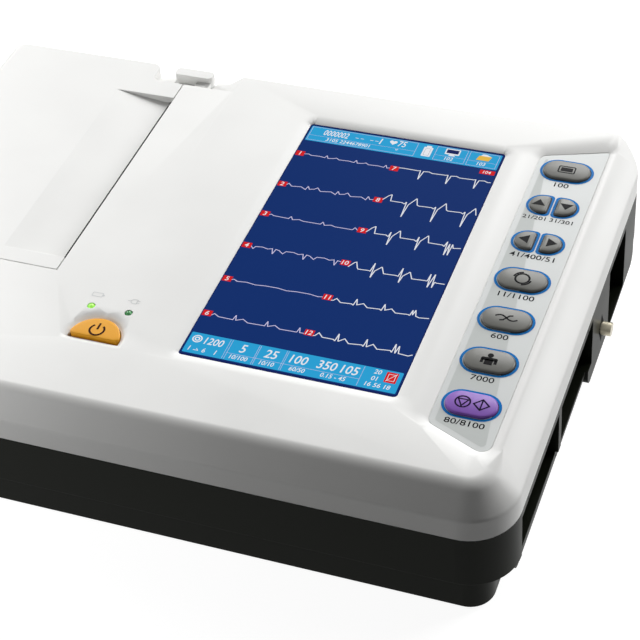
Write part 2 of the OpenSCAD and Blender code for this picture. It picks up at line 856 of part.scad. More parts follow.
module power_board() {
    z = power_board_z;
    color("#2c6e49") {
        box([power_x - power_r - 3, power_x + power_r + 3], [power_y - 4, led_y + 4], [z - board_t, z]);
        translate([power_x - 3, power_y + 2, z]) cube([6, 6, 2.2]);
        translate([power_x, power_y + 5, z])
            cylinder(h = power_flange_z - key_travel - 0.2 - z, r = 1.6);
        for (x = [-1, 1]) {
            translate([power_x + x * led_pitch / 2, led_y, z]) cylinder(h = under - 4.5 - z, r = 1);
            translate([power_x + x * power_r, power_y - 3, z])
                cylinder(h = under - power_sunk - z, r = 1.5);
            translate([power_x + x * power_r * 1.1, led_y + 2, z]) cylinder(h = under - z, r = 1.5);
        }
    }
}

module paper_door() {
    color("#ececea") difference() {
        intersection() {
            door_blank();
            translate([0, 0, part_z]) linear_extrude(cover_h + 20) plan();
        }
        chute_cut();
        // rear ear, under the skin
        rod_y(hinge_x, hinge_z, ear_r + fit, ear_y - fit, ear_y + ear_w + fit);
        box([left - cut, hinge_x + barrel_r + fit], [ear_y - fit, ear_y + ear_w + fit], [part_z, hinge_z]);
        box([left - cut, hinge_x], [ear_y - fit, ear_y + ear_w + fit], [part_z, hinge_z + ear_off]);
        rod_y(hinge_x, hinge_z, pin_r + run, door_y - cut, ear_y + cut);
        // notch
        door_notch();
        box([tab_x - tab_w / 2 - 0.6, slot_x], [notch_y, back + cut], [part_z, top + cut]);
        for (y = bracket_y()) rod_y(platen_x, platen_z, bush_r + press, y - cut, y + bracket_t + cut);
    }
}

function bracket_y() = [plate_front + plate_t + bracket_in, plate_rear - bracket_in - bracket_t];

module door_blank() {
    box([hinge_x, door_edge], [door_y, back], [under, top]);
    rod_y(hinge_x, hinge_z, barrel_r, door_y, back);
    // back skirt
    box([hinge_x, tab_x - tab_w / 2 - 0.6], [back - wall, back], [skirt_z, top]);
    // body of the chute
    along_y(paper_y - slot_len / 2 - wall, paper_y + slot_len / 2 + 4.5 + wall)
        polygon([[door_x - chute_w - 2, top - 0.5], [door_x, top - 0.5], [door_x, lip_z],
            [door_x - 4, lip_z], [door_x - chute_w - 2, under - 0.2]]);
    // notch floor and wall
    box([notch_l - 2, door_edge], [notch_y - 2, back], [notch_z - 2, top]);
    // platen brackets
    for (y = bracket_y()) along_y(y, y + bracket_t) {
        translate([platen_x - bush_r - 2, platen_z]) square([2 * bush_r + 4, under + 1 - platen_z]);
        translate([platen_x, platen_z]) circle(bush_r + 2);
    }
}

// Notch for the fingers, rounded where its end wall meets its front wall and the back.
module door_notch() {
    r = notch_round;
    box([notch_l + r, slot_x], [notch_y, back + cut], [notch_z, top + cut]);
    box([notch_l, slot_x], [notch_y + r, back + cut], [notch_z, top + cut]);
    translate([notch_l + r, notch_y + r, notch_z]) cylinder(h = top + cut - notch_z, r = r, $fn = 48);
    difference() {
        box([notch_l - r, notch_l + cut], [back - r, back + cut], [notch_z, top + cut]);
        translate([notch_l - r, back - r, notch_z - cut])
            cylinder(h = top + 3 * cut - notch_z, r = r, $fn = 48);
    }
}

module chute_cut() {
    along_y(paper_y - slot_len / 2, paper_y + slot_len / 2 + 4.5)
        polygon([[door_x - chute_w, top], [door_x - chute_w, top + cut], [door_edge + cut, top + cut],
            [door_edge + cut, under - cut], [door_x, under - cut], [door_x, chute_z]]);
}

module hinge_pins() {
    color("silver") {
        rod_y(hinge_x, hinge_z, pin_r, door_y - gap - 10, door_y + 12);
        rod_y(hinge_x, hinge_z, pin_r, ear_y - 12, ear_y + ear_w);
    }
}

module platen_bushes() {
    color("#d9d4c4") for (y = bracket_y()) difference() {
        rod_y(platen_x, platen_z, bush_r, y, y + bracket_t);
        rod_y(platen_x, platen_z, shaft_r + run, y - cut, y + bracket_t + cut);
    }
}

module platen_roller() {
    color("#2a2a2a") difference() {
        rod_y(platen_x, platen_z, platen_r, paper_y - paper_w / 2, paper_y + paper_w / 2);
        rod_y(platen_x, platen_z, shaft_r, paper_y - paper_w, paper_y + paper_w);
    }
}

module platen_shaft() {
    color("silver") rod_y(platen_x, platen_z, shaft_r, plate_front - 2, gear_y + gear_w + 0.8);
}

// Involute of a base circle of radius b at roll angle a degrees.
function involute(b, a) = [b * (cos(a) + a * PI / 180 * sin(a)), b * (sin(a) - a * PI / 180 * cos(a))];
function turned(p, a) = [p[0] * cos(a) - p[1] * sin(a), p[0] * sin(a) + p[1] * cos(a)];

// One tooth pointing along +X, from root to tip and back to root.
function tooth(n, m) =
    let (r = m * n / 2, b = r * cos(20), tip = r + 0.85 * m, root = r - 1.15 * m,
        a_pitch = sqrt(r * r / b / b - 1) * 180 / PI, a_tip = sqrt(tip * tip / b / b - 1) * 180 / PI,
        half = (PI * m / 2 - backlash) / 2 / r * 180 / PI,
        turn = a_pitch - atan(a_pitch * PI / 180) + half,
        side = [for (i = [0:4]) turned(involute(b, a_tip * i / 4), -turn)],
        foot = [root * cos(turn), -root * sin(turn)])
    concat([foot], side, [for (i = [4:-1:0]) [side[i][0], -side[i][1]]], [[foot[0], -foot[1]]]);

module gear(n, m, w, bore, phase) {
    difference() {
        linear_extrude(w) polygon([for (i = [0:n - 1]) for (p = tooth(n, m)) turned(p, i * 360 / n + phase)]);
        translate([0, 0, -cut]) cylinder(h = w + 2 * cut, r = bore);
    }
}

// Gear on an axle along Y: angles are counted from +X towards +Z.
module gear_y_at(x, z, n, bore, phase, w = gear_w) {
    translate([x, gear_y + w, z]) rotate([90, 0, 0]) gear(n, gear_module, w, bore, phase);
}

module platen_gear() {
    color("#e8e2d0") gear_y_at(platen_x, platen_z, platen_teeth, shaft_r, -90);
}

module idler_gear() {
    color("#e8e2d0") gear_y_at(platen_x, idler_z, idler_teeth, post_r + run, idler_phase);
}

module idler_post() {
    color("silver") rod_y(platen_x, idler_z, post_r, plate_rear, gear_y + gear_w + 0.8);
}

module motor_pinion() {
    color("#c9a24a") gear_y_at(pinion_x, pinion_z, pinion_teeth, 1.5, pinion_phase);
}

module motor_shaft() {
    color("silver") rod_y(pinion_x, pinion_z, 1.5, plate_rear - plate_t - motor_l + 6, gear_y + gear_w);
}

module stepper_motor() {
    y1 = plate_rear - plate_t;
    color("#8d8f90") difference() {
        union() {
            rod_y(pinion_x, pinion_z, motor_r, y1 - motor_l, y1);
            rod_y(pinion_x, pinion_z, 4, y1 - 1, plate_rear);
            for (s = [-1, 1]) translate([pinion_x - 3.5, y1 - 1.2, pinion_z + s * (motor_r + 1) - 3.5])
                cube([7, 1.2, 7]);
        }
        rod_y(pinion_x, pinion_z, 1.5 + run, y1 - motor_l + 5, plate_rear + cut);
    }
}

module side_plate(y0, y1) {
    difference() {
        along_y(y0, y1) polygon([[frame_left, frame_z], [frame_right, frame_z],
            [frame_right, notch_z - 12], [head_x + 6, platen_z + 6], [platen_x - 7, platen_z + 6],
            [frame_left, well_top - 6]]);
        rod_y(platen_x, platen_z, shaft_r + 0.3, y0 - cut, y1 + cut);
        box([platen_x - shaft_r - 0.3, platen_x + shaft_r + 0.3], [y0 - cut, y1 + cut],
            [platen_z, platen_z + 20]);
    }
}

module printer_frame() {
    color("#b9bcbd") difference() {
        union() {
            side_plate(plate_front, plate_front + plate_t);
            side_plate(plate_rear - plate_t, plate_rear);
            box([frame_left, frame_right], [plate_front, plate_rear], [frame_z, frame_z + plate_t]);
            box([frame_right - plate_t, frame_right], [plate_front, plate_rear], [frame_z, notch_z - 12]);
        }
        rod_y(pinion_x, pinion_z, 4 + press, plate_rear - plate_t - cut, plate_rear + cut);
        box([frame_left + 6, frame_right - 8], [plate_front + 12, plate_rear - 12],
            [frame_z - cut, frame_z + 2 * plate_t]);
    }
}

module thermal_head() {
    color("#6b4a2c") box([head_x, head_x + head_t], [paper_y - slot_len / 2, paper_y + slot_len / 2],
        [platen_z - head_h / 2, platen_z + head_h / 2]);
}

module head_heatsink() {
    x = head_x + head_t;
    color("#a9adb0") difference() {
        box([x, x + sink_t], [paper_y - slot_len / 2, paper_y + slot_len / 2],
            [platen_z - sink_low, platen_z + sink_high]);
        for (i = [0:3]) box([x + sink_t - 2 * fin, x + sink_t + cut],
            [paper_y - slot_len, paper_y + slot_len],
            [platen_z - sink_low + fin * (2 * i + 0.75), platen_z - sink_low + fin * (2 * i + 1.75)]);
    }
    color("#a9adb0") box([x + 1, frame_right - plate_t],
        [paper_y - sink_foot_d / 2, paper_y + sink_foot_d / 2],
        [platen_z - sink_low - fin, platen_z - sink_low]);
}

module head_springs() {
    x = head_x + head_t + sink_t;
    color("#777777") for (s = [-1, 1]) difference() {
        rod_x(paper_y + s * head_spring_y, head_spring_z, head_spring_r, x, frame_right - plate_t);
        rod_x(paper_y + s * head_spring_y, head_spring_z, head_spring_r - 0.8, x - cut, frame_right);
    }
}

module tear_bar() {
    color("silver") {
        box([slot_x, slot_x + 7], [paper_y - slot_len / 2 - 2, paper_y + slot_len / 2 + 2],
            [under - 0.8, under]);
        along_x(slot_x - 0.2, slot_x) {
            n = floor(slot_len / 2);
            polygon(concat([[paper_y + slot_len / 2, under - 0.8], [paper_y - slot_len / 2, under - 0.8]],
                [for (i = [0:2 * n]) [paper_y - slot_len / 2 + i * slot_len / 2 / n,
                    under - (i % 2 == 0 ? 0.4 : 0)]]));
        }
    }
}

module paper_well() {
    y0 = paper_y - slot_len / 2 - well_t;
    y1 = paper_y + slot_len / 2 + well_t;
    color("#4a4c48") difference() {
        union() {
            along_y(y0, y1) {
                translate([roll_x, roll_z]) circle(well_r + well_t, $fn = 64);
                translate([roll_x - well_r - well_t, roll_z])
                    square([2 * (well_r + well_t), well_top - roll_z]);
            }
            box([roll_x - 12, roll_x + 12], [y0, y1], [floor_z, roll_z - well_r]);
        }
        along_y(y0 + well_t, y1 - well_t) {
            translate([roll_x, roll_z]) circle(well_r, $fn = 64);
            translate([roll_x - well_r, roll_z]) square([2 * well_r, well_top]);
        }
        box([roll_x - well_r - 2 * well_t, roll_x + well_r + 2 * well_t], [y0 - cut, y1 + cut],
            [well_top, case_h]);
        rod_y(roll_x, roll_z, journal_r + run, y0 - cut, y1 + cut);
        box([roll_x - journal_r - run, roll_x + journal_r + run], [y0 - cut, y1 + cut],
            [roll_z, case_h]);
    }
}

module paper_roll() {
    color("#f7f3ee") difference() {
        rod_y(roll_x, roll_z, roll_r, paper_y - paper_w / 2, paper_y + paper_w / 2);
        rod_y(roll_x, roll_z, core_r + core_t, paper_y - paper_w, paper_y + paper_w);
    }
}

module roll_core() {
    color("#b08d62") difference() {
        rod_y(roll_x, roll_z, core_r + core_t, paper_y - paper_w / 2, paper_y + paper_w / 2);
        rod_y(roll_x, roll_z, core_r, paper_y - paper_w, paper_y + paper_w);
    }
}

module roll_spindle() {
    color("#5b5d5a") {
        rod_y(roll_x, roll_z, core_r - run, paper_y - paper_w / 2, paper_y + paper_w / 2);
        rod_y(roll_x, roll_z, journal_r, paper_y - slot_len / 2 - well_t, paper_y + slot_len / 2 + well_t);
    }
}

module release_latch() {
    color("#ececea") difference() {
        union() {
            translate([tab_x - tab_w / 2, back - tab_t, notch_z + 0.6]) linear_extrude(top - notch_z - 0.6)
                round_rect(tab_w, tab_t, tab_r);
            box([arm_x, arm_x + arm_w], [latch_y - 2.2, back], [notch_z + 0.6, notch_z + 3]);
            box([arm_x, arm_x + arm_w], [latch_y - 2.2, latch_y + 1.2], [latch_z, notch_z + 3]);
            rod_x(latch_y, latch_z, 2.8, arm_x, arm_x + arm_w);
        }
        rod_x(latch_y, latch_z, latch_pin_r + run, arm_x - cut, arm_x + arm_w + cut);
    }
}

module latch_pin() {
    color("silver") rod_x(latch_y, latch_z, latch_pin_r, arm_x - 0.3 - ear_t, arm_x + arm_w + 0.3 + ear_t);
}

module latch_spring() {
    color("#777777") difference() {
        rod_x(latch_y, latch_z, 2.4, arm_x + arm_w + 0.3 + ear_t + 0.1, arm_x + arm_w + ear_t + 3);
        rod_x(latch_y, latch_z, 1.6, arm_x + arm_w + ear_t, arm_x + arm_w + ear_t + 4);
    }
}

module main_board() {
    color("#1f5d3c") {
        difference() {
            box([board_x, board_x + board_w], [board_y, board_y + board_d], [board_z, board_z + board_t]);
            for (p = board_posts()) translate([p[0], p[1], board_z - cut]) cylinder(h = 4, r = 1.6);
        }
        for (c = board_parts) translate([board_x + c[0], board_y + c[1], board_z + board_t])
            cube([c[2], c[3], c[4]]);
    }
}

module board_screws() {
    color("silver") for (p = board_posts()) translate([p[0], p[1], board_z + board_t])
        cylinder(h = 2, r = 2.8);
}

module power_supply() {
    z = floor_z + supply_leg;
    color("#2f6b47") translate([supply_x, supply_y, 0]) {
        for (x = [supply_hole, supply_w - supply_hole], y = [supply_hole, supply_d - supply_hole])
            translate([x, y, floor_z]) cylinder(h = supply_leg, r = 2.5);
        translate([0, 0, z]) cube([supply_w, supply_d, board_t]);
        for (c = supply_blocks) translate([c[0], c[1], z + board_t]) cube([c[2], c[3], c[4]]);
        for (c = supply_cans) translate([c[0], c[1], z + board_t]) cylinder(h = c[3], r = c[2]);
    }
}

module speaker() {
    color("#2b2b2b") translate([slot_x + speaker_r + 18, back - 3 * speaker_r, floor_z]) {
        cylinder(h = speaker_h / 2, r = speaker_r);
        translate([0, 0, speaker_h / 2])
            cylinder(h = speaker_h / 2, r1 = speaker_r - 2, r2 = speaker_r - 5);
    }
}

// Flat cables from the main board to the display, the thermal head and the connector board.
module ribbon_cables() {
    z = board_z + board_t;
    p = board_parts;
    socket_y = board_y + p[0][1] + 3;
    entry_y = screen_y + 5.4;
    color("#caa96a") {
        // up from its socket and along below the module to where it enters
        for (c = [[[socket_y, socket_y + cable_t], z + p[0][4]],
            [[min(socket_y, entry_y), max(socket_y, entry_y) + cable_t], module_low - cable_t]])
            box([board_x + p[0][0] + 3, board_x + p[0][0] + p[0][2] - 3], c[0], [c[1], module_low]);
        along_y(board_y + p[1][1] + 2, board_y + p[1][1] + p[1][3] - 2) {
            x = frame_right + cable_t;
            translate([head_x + 8, platen_z + 0.6]) square([x + cable_t - head_x - 8, cable_t]);
            translate([x, z + p[1][4]]) square([cable_t, platen_z + 0.6 - z - p[1][4] + cable_t]);
            translate([x, z + p[1][4]]) square([board_x + p[1][0] + p[1][2] - x, cable_t]);
        }
        box([board_x + p[2][0] + 1, io_x], [board_y + p[2][1] + 3, board_y + p[2][1] + p[2][3] - 3],
            [z + p[2][4], z + p[2][4] + cable_t]);
    }
}

// Openings for the connectors through the back walls of the recesses.
module port_holes() {
    x0 = port_x - port_wall - cut;
    box([x0, port_x + cut], y_at(patient_y(), patient_d), z_at(port_mid(0), shell_h));
    box([x0, port_x + cut], y_at(serial_y(), serial_d), z_at(port_mid(1), shell_h));
    box([x0, port_x + cut], y_at(usb_y(), usb_d), z_at(port_mid(1), usb_h));
    box([x0, port_x + cut], y_at(inlet_y(), inlet_d), z_at(inlet_z(), inlet_h));
    box([x0, port_x + cut], y_at(inlet_y(), fuse_d), z_at(fuse_z(), fuse_h));
    rod_x(signal_y(), port_mid(0), signal_r + 0.1, x0, port_x + cut);
    rod_x(stud_y, stud_z, stud_neck_r + press, right - 2 * pan_inset, right + cut);
    rod_x(stud_y, stud_z, stud_nut_r + fit, right - 2 * pan_inset, right - wall);
}

function y_at(c, d) = [c - d / 2 - 0.15, c + d / 2 + 0.15];
function z_at(c, d) = [c - d / 2 - 0.15, c + d / 2 + 0.15];
function port_mid(i) = top - (port_top + ports[i][2]) / 2;
function patient_y() = front + ports[0][1] - 2 - patient_d / 2;
function signal_y() = front + ports[0][0] + 3 + signal_r;
function serial_y() = front + ports[1][0] + 3 + serial_d / 2;
function usb_y() = front + ports[1][1] - 2 - usb_d / 2;
function inlet_y() = front + (ports[2][0] + ports[2][1]) / 2;
function inlet_z() = top - port_top - 1.5 - inlet_h / 2;
function fuse_z() = inlet_z() - inlet_h / 2 - 0.8 - fuse_h / 2;

module io_board() {
    color("#1f5d3c") box([io_x, io_x + board_t], [front + ports[0][0], front + ports[1][1]],
        [port_mid(0) - 12, port_mid(0) + 9]);
}

// A trapezoid connector shell with its pin block, facing +X.
module d_port(y, z, d, out, pins) {
    w = d - 7;
    difference() {
        union() {
            box([io_x + board_t, port_x - port_wall], [y - w / 2, y + w / 2], [z - 5, z + 5]);
            box([port_x - port_wall, port_x + 1], [y - d / 2, y + d / 2], [z - shell_h / 2, z + shell_h / 2]);
            along_x(port_x + 1, port_x + out) polygon([[y - w / 2 + 2, z - 4.1], [y + w / 2 - 2, z - 4.1],
                [y + w / 2 - 0.6, z + 4.1], [y - w / 2 + 0.6, z + 4.1]]);
            for (s = [-1, 1]) rod_x(y + s * (d / 2 - 3.2), z, 2.4, port_x + 1, port_x + 4.6);
        }
        for (i = [0:pins - 1])
            rod_x(y + (i - (pins - 1) / 2) * 2.77, z + 1.4, 0.55, port_x + 2, port_x + out + cut);
        for (i = [0:pins - 2])
            rod_x(y + (i - (pins - 2) / 2) * 2.77, z - 1.4, 0.55, port_x + 2, port_x + out + cut);
    }
}

module patient_port() {
    color("#c9ccce") d_port(patient_y(), port_mid(0), patient_d, 6, 8);
}

module serial_port() {
    color("#c9ccce") d_port(serial_y(), port_mid(1), serial_d, 6, 5);
}

module signal_port() {
    color("#2b2b2b") difference() {
        union() {
            rod_x(signal_y(), port_mid(0), signal_r, io_x + board_t, port_x + 2);
            rod_x(signal_y(), port_mid(0), signal_r + 1, port_x, port_x + 1);
        }
        rod_x(signal_y(), port_mid(0), signal_r - 1.2, port_x - 5, port_x + 3);
    }
}

module usb_port() {
    color("#c9ccce") difference() {
        box([io_x + board_t, port_x + 1.5], [usb_y() - usb_d / 2, usb_y() + usb_d / 2],
            [port_mid(1) - usb_h / 2, port_mid(1) + usb_h / 2]);
        box([port_x - 8, port_x + 2.5], [usb_y() - usb_d / 2 + 0.7, usb_y() + usb_d / 2 - 0.7],
            [port_mid(1) - usb_h / 2 + 0.7, port_mid(1) + usb_h / 2 - 0.7]);
    }
    color("white") box([port_x - 8, port_x + 0.5], [usb_y() - usb_d / 2 + 1.5, usb_y() + usb_d / 2 - 1.5],
        [port_mid(1) + 0.4, port_mid(1) + 2.1]);
}

module mains_inlet() {
    y = inlet_y();
    z = inlet_z();
    color("#1b1b1b") difference() {
        box([port_x - port_wall - inlet_l, port_x + 5], [y - inlet_d / 2, y + inlet_d / 2],
            [z - inlet_h / 2, z + inlet_h / 2]);
        box([port_x - 11, port_x + 6], [y - 12, y + 12], [z - 8.2, z + 8.2]);
    }
    color("#d8d2c0") for (p = [[-7, -1.5], [7, -1.5], [0, 4]])
        box([port_x - 12, port_x + 3], [y + p[0] - 1, y + p[0] + 1], [z + p[1] - 2, z + p[1] + 2]);
}

module fuse_drawer() {
    y = inlet_y();
    z = fuse_z();
    color("#2a2a28") difference() {
        union() {
            box([port_x - inlet_l, port_x], [y - fuse_d / 2, y + fuse_d / 2],
                [z - fuse_h / 2, z + fuse_h / 2]);
            box([port_x, port_x + 1.5], [y - fuse_d / 2 - 1, y + fuse_d / 2 + 1],
                [z - fuse_h / 2, z + fuse_h / 2]);
        }
        for (i = [-4:4]) translate([port_x + 1, y + i * 2.4 - 0.5, z - fuse_h / 2 - cut])
            cube([cut, 1, fuse_h + 2 * cut]);
    }
}

module earth_stud() {
    color("#bdb8a6") {
        rod_x(stud_y, stud_z, stud_r, right + 0.5, right + stud_out);
        rod_x(stud_y, stud_z, stud_neck_r, right - wall - stud_nut_t - 1, right + 0.5);
        rod_x(stud_y, stud_z, stud_nut_r, right - wall - stud_nut_t, right - wall);
    }
}

bottom_case();
rubber_feet();
battery_cover();
battery_pack();
battery_screw();
case_screws();
top_cover();
display_window();
display_gasket();
lcd_module();
key_label();
key(0, "#8e62b8");  // key_run
key(1, "#8e8e8a");  // key_patient
key(2, "#8e8e8a");  // key_filter
key(3, "#8e8e8a");  // key_mode
key(4, "#8e8e8a");  // key_left
key(5, "#8e8e8a");  // key_right
key(6, "#8e8e8a");  // key_up
key(7, "#8e8e8a");  // key_down
key(8, "#8e8e8a");  // key_menu
keypad_board();
power_button();
status_lamps();
power_board();
paper_door();
hinge_pins();
platen_bushes();
platen_roller();
platen_shaft();
platen_gear();
idler_gear();
idler_post();
motor_pinion();
motor_shaft();
stepper_motor();
printer_frame();
thermal_head();
head_heatsink();
head_springs();
tear_bar();
paper_well();
paper_roll();
roll_core();
roll_spindle();
release_latch();
latch_pin();
latch_spring();
main_board();
board_screws();
power_supply();
speaker();
ribbon_cables();
io_board();
patient_port();
signal_port();
serial_port();
usb_port();
mains_inlet();
fuse_drawer();
earth_stud();
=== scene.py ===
"""Dresses the portable electrocardiograph: case, display, keys, recorder, connectors and light.

Sizes are in millimetres in the row's frame and turn to metres where a mesh is made.
"""

import logging
import math
from dataclasses import dataclass, field
from enum import Enum
from functools import lru_cache
from typing import Callable, ClassVar, Iterable, Sequence

import bmesh
import bpy
from mathutils import Matrix, Vector


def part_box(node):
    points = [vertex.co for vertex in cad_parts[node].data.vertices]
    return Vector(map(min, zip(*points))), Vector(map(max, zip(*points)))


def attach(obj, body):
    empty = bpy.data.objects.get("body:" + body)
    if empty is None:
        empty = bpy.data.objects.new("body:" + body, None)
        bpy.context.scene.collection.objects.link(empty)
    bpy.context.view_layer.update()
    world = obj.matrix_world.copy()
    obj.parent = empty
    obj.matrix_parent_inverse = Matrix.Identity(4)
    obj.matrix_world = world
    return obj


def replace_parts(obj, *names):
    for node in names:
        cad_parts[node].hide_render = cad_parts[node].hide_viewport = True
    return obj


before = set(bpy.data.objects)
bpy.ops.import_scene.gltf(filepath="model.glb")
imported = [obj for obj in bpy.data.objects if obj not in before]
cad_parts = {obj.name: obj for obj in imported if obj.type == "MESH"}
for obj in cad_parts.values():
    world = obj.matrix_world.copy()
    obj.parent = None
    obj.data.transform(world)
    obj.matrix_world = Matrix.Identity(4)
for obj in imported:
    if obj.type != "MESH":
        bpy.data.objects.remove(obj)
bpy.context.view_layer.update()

log = logging.getLogger("electrocardiograph")

Point = tuple[float, float]
Outline = list[Point]
Shape = tuple[Sequence[Sequence[float]], Sequence[Sequence[int]]]    # points and faces
Inputs = dict[str | int, object]
MM = 0.001


# ---------------------------------------------------------------- small tools


def linear(hex_colour: str) -> tuple[float, float, float, float]:
    """Turns an sRGB hex colour to linear RGBA.

    Args:
        hex_colour: Six hex digits with a leading hash.

    Returns:
        Linear red, green, blue and an alpha of 1.
    """
    parts = [int(hex_colour[i:i + 2], 16) / 255 for i in (1, 3, 5)]
    r, g, b = [c / 12.92 if c <= 0.04045 else ((c + 0.055) / 1.055) ** 2.4 for c in parts]
    return (r, g, b, 1.0)


def shifted(hex_colour: str, times: float = 1.0, plus: int = 0) -> str:
    """Makes a colour a little darker or lighter in every channel.

    Args:
        hex_colour: sRGB hex colour.
        times: Factor on each channel.
        plus: Steps of 255 that are added to it.

    Returns:
        The new sRGB hex colour.
    """
    parts = [int(hex_colour[i:i + 2], 16) for i in (1, 3, 5)]
    return "#" + "".join(f"{min(255, int(c * times) + plus):02x}" for c in parts)


def add(tree: bpy.types.NodeTree, kind: str, settings: dict[str, object] | None = None,
        inputs: Inputs | None = None, stops: Sequence[tuple[float, str]] = ()) -> bpy.types.Node:
    """Adds one node with its settings, input values and links.

    Args:
        tree: Node tree that takes the node.
        kind: Blender's identifier of the node's type.
        settings: Properties of the node by name.
        inputs: Value, socket or node by input name or number. A node links its first output.
        stops: Place and sRGB hex colour of each stop of a colour ramp.

    Returns:
        The new node.
    """
    node = tree.nodes.new(kind)
    for key, value in (settings or {}).items():
        setattr(node, key, value)
    for key, value in (inputs or {}).items():
        if isinstance(value, bpy.types.Node):
            value = value.outputs[0]
        if isinstance(value, bpy.types.NodeSocket):
            tree.links.new(value, node.inputs[key])
        else:
            node.inputs[key].default_value = value
    for i, (place, colour) in enumerate(stops):
        stop = node.color_ramp.elements[i]
        stop.position, stop.color = place, linear(colour)
    return node


def blank(name: str) -> tuple[bpy.types.Material, bpy.types.NodeTree]:
    """Makes an empty node material.

    Args:
        name: Name of the material.

    Returns:
        The material and its emptied node tree.
    """
    material = bpy.data.materials.new(name)
    material.use_nodes = True
    material.node_tree.nodes.clear()
    return material, material.node_tree


def box_mm(node: str) -> tuple[Vector, Vector]:
    """Gives the lowest and highest corner of a CAD node in millimetres."""
    low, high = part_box(node)
    return low / MM, high / MM


def shown(mesh: bpy.types.Mesh, finish: "Finish", body: str, smooth: float) -> bpy.types.Object:
    """Makes a visible piece of a mesh and sets it on its body.

    Args:
        mesh: Mesh in metres. The piece takes its name.
        finish: Finish of the piece.
        body: CAD body that it rides on.
        smooth: Edges flatter than this many degrees are shaded smooth.

    Returns:
        The new object.
    """
    mesh.materials.append(finish.material)
    mesh.shade_smooth()
    mesh.set_sharp_from_angle(angle=math.radians(smooth))
    obj = bpy.data.objects.new(mesh.name, mesh)
    bpy.context.scene.collection.objects.link(obj)
    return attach(obj, body)


def mesh_piece(name: str, shape: Shape, finish: "Finish", body: str,
               smooth: float = 35.0) -> bpy.types.Object:
    """Makes one visible piece from points in millimetres.

    Args:
        name: Name of the piece.
        shape: Its points and faces.
        finish: Finish of the piece.
        body: CAD body that it rides on.
        smooth: Edges flatter than this many degrees are shaded smooth.

    Returns:
        The new object.
    """
    mesh = bpy.data.meshes.new(name)
    mesh.from_pydata([Vector(v) * MM for v in shape[0]], [], [list(f) for f in shape[1]])
    bm = bmesh.new()
    bm.from_mesh(mesh)
    bmesh.ops.recalc_face_normals(bm, faces=bm.faces)
    bm.to_mesh(mesh)
    bm.free()
    return shown(mesh, finish, body, smooth)


def joined(*shapes: Shape) -> Shape:
    """Puts several shapes together into one.

    Args:
        shapes: Points and faces of each.

    Returns:
        Points and faces of all.
    """
    verts: list[Sequence[float]] = []
    faces: list[Sequence[int]] = []
    for points, polygons in shapes:
        first = len(verts)
        verts += points
        faces += [[first + i for i in face] for face in polygons]
    return verts, faces


def loft(rings: Sequence[Sequence[Sequence[float]]]) -> Shape:
    """Skins closed rings that all have the same number of points, and closes both ends.

    Args:
        rings: Rings of points, first to last.

    Returns:
        Points and faces.
    """
    n, last = len(rings[0]), len(rings) - 1
    sides = [(k * n + i, k * n + (i + 1) % n, (k + 1) * n + (i + 1) % n, (k + 1) * n + i)
             for k in range(last) for i in range(n)]
    ends = [list(range(n))[::-1], [last * n + i for i in range(n)]]
    return [p for ring in rings for p in ring], sides + ends


def stacked(outline: Callable[[float], Outline], steps: Iterable[Point]) -> Shape:
    """Lofts an outline that grows and shrinks on its way up.

    Args:
        outline: Gives the outline for any growth.
        steps: Growth and height of each ring, from below.

    Returns:
        Points and faces.
    """
    return loft([[(x, y, z) for x, y in outline(grow)] for grow, z in steps])


def button_steps(low: float, top: float, flange: float, r: float, squash: float = 1.0
                 ) -> list[Point]:
    """Gives the section of a push button: flange, wall and the round edge of its top.

    Args:
        low: Height of the flange's foot.
        top: Height of the top.
        flange: Width of the flange.
        r: Radius of the top's edge.
        squash: Share of the radius that the edge has in height.

    Returns:
        Growth and height of each ring, from below.
    """
    rim, spans = low + 1.4, 5
    quarter = [math.pi / 2 * k / spans for k in range(1, spans + 1)]
    return [(flange, low), (flange, rim), (0.0, rim), (0.0, top - r * squash),
            *[(-r * (1 - math.cos(a)), top - r * squash * (1 - math.sin(a))) for a in quarter]]


def arc(x: float, y: float, r: float, start: float, stop: float, steps: int = 12) -> Outline:
    """Gives points along an arc.

    Args:
        x: Centre along X.
        y: Centre along Y.
        r: Radius.
        start: First angle in degrees.
        stop: Last angle in degrees.
        steps: Number of spans.

    Returns:
        The points, first to last.
    """
    turns = [math.radians(start + (stop - start) * k / steps) for k in range(steps + 1)]
    return [(x + r * math.cos(a), y + r * math.sin(a)) for a in turns]


def circle(x: float, y: float, r: float, steps: int) -> Outline:
    """Outline of a circle, anticlockwise."""
    return arc(x, y, r, 0, 360, steps)[:-1]


def round_rect(x0: float, y0: float, x1: float, y1: float, r: float) -> Outline:
    """Outline of a rectangle with round corners, anticlockwise."""
    steps = 6
    return (arc(x1 - r, y0 + r, r, -90, 0, steps) + arc(x1 - r, y1 - r, r, 0, 90, steps)
            + arc(x0 + r, y1 - r, r, 90, 180, steps) + arc(x0 + r, y0 + r, r, 180, 270, steps))


def inset(points: Outline, by: float) -> Outline:
    """Moves each side of a closed anticlockwise outline inwards.

    Args:
        points: The outline.
        by: Distance inwards.

    Returns:
        The new outline, with as many points.
    """
    out = []
    for i, point in enumerate(points):
        here, after = Vector(point), Vector(points[(i + 1) % len(points)])
        a, b = (here - Vector(points[i - 1])).normalized(), (after - here).normalized()
        mid = Vector((-a.y - b.y, a.x + b.x))
        out.append(tuple(here + mid / max(mid.length_squared, 0.4) * 2 * by))
    return out


def hull(points: Iterable[Point]) -> Outline:
    """Gives the smallest convex outline round some points.

    Args:
        points: The points.

    Returns:
        The outline, anticlockwise.
    """
    ordered = sorted({(round(x, 4), round(y, 4)) for x, y in points})
    out: Outline = []
    for line in (ordered, ordered[::-1]):
        half: Outline = []
        for p in line:
            while len(half) > 1 and ((half[-1][0] - half[-2][0]) * (p[1] - half[-2][1])
                                     - (half[-1][1] - half[-2][1]) * (p[0] - half[-2][0])) <= 1e-9:
                half.pop()
            half.append(p)
        out += half[:-1]
    return out


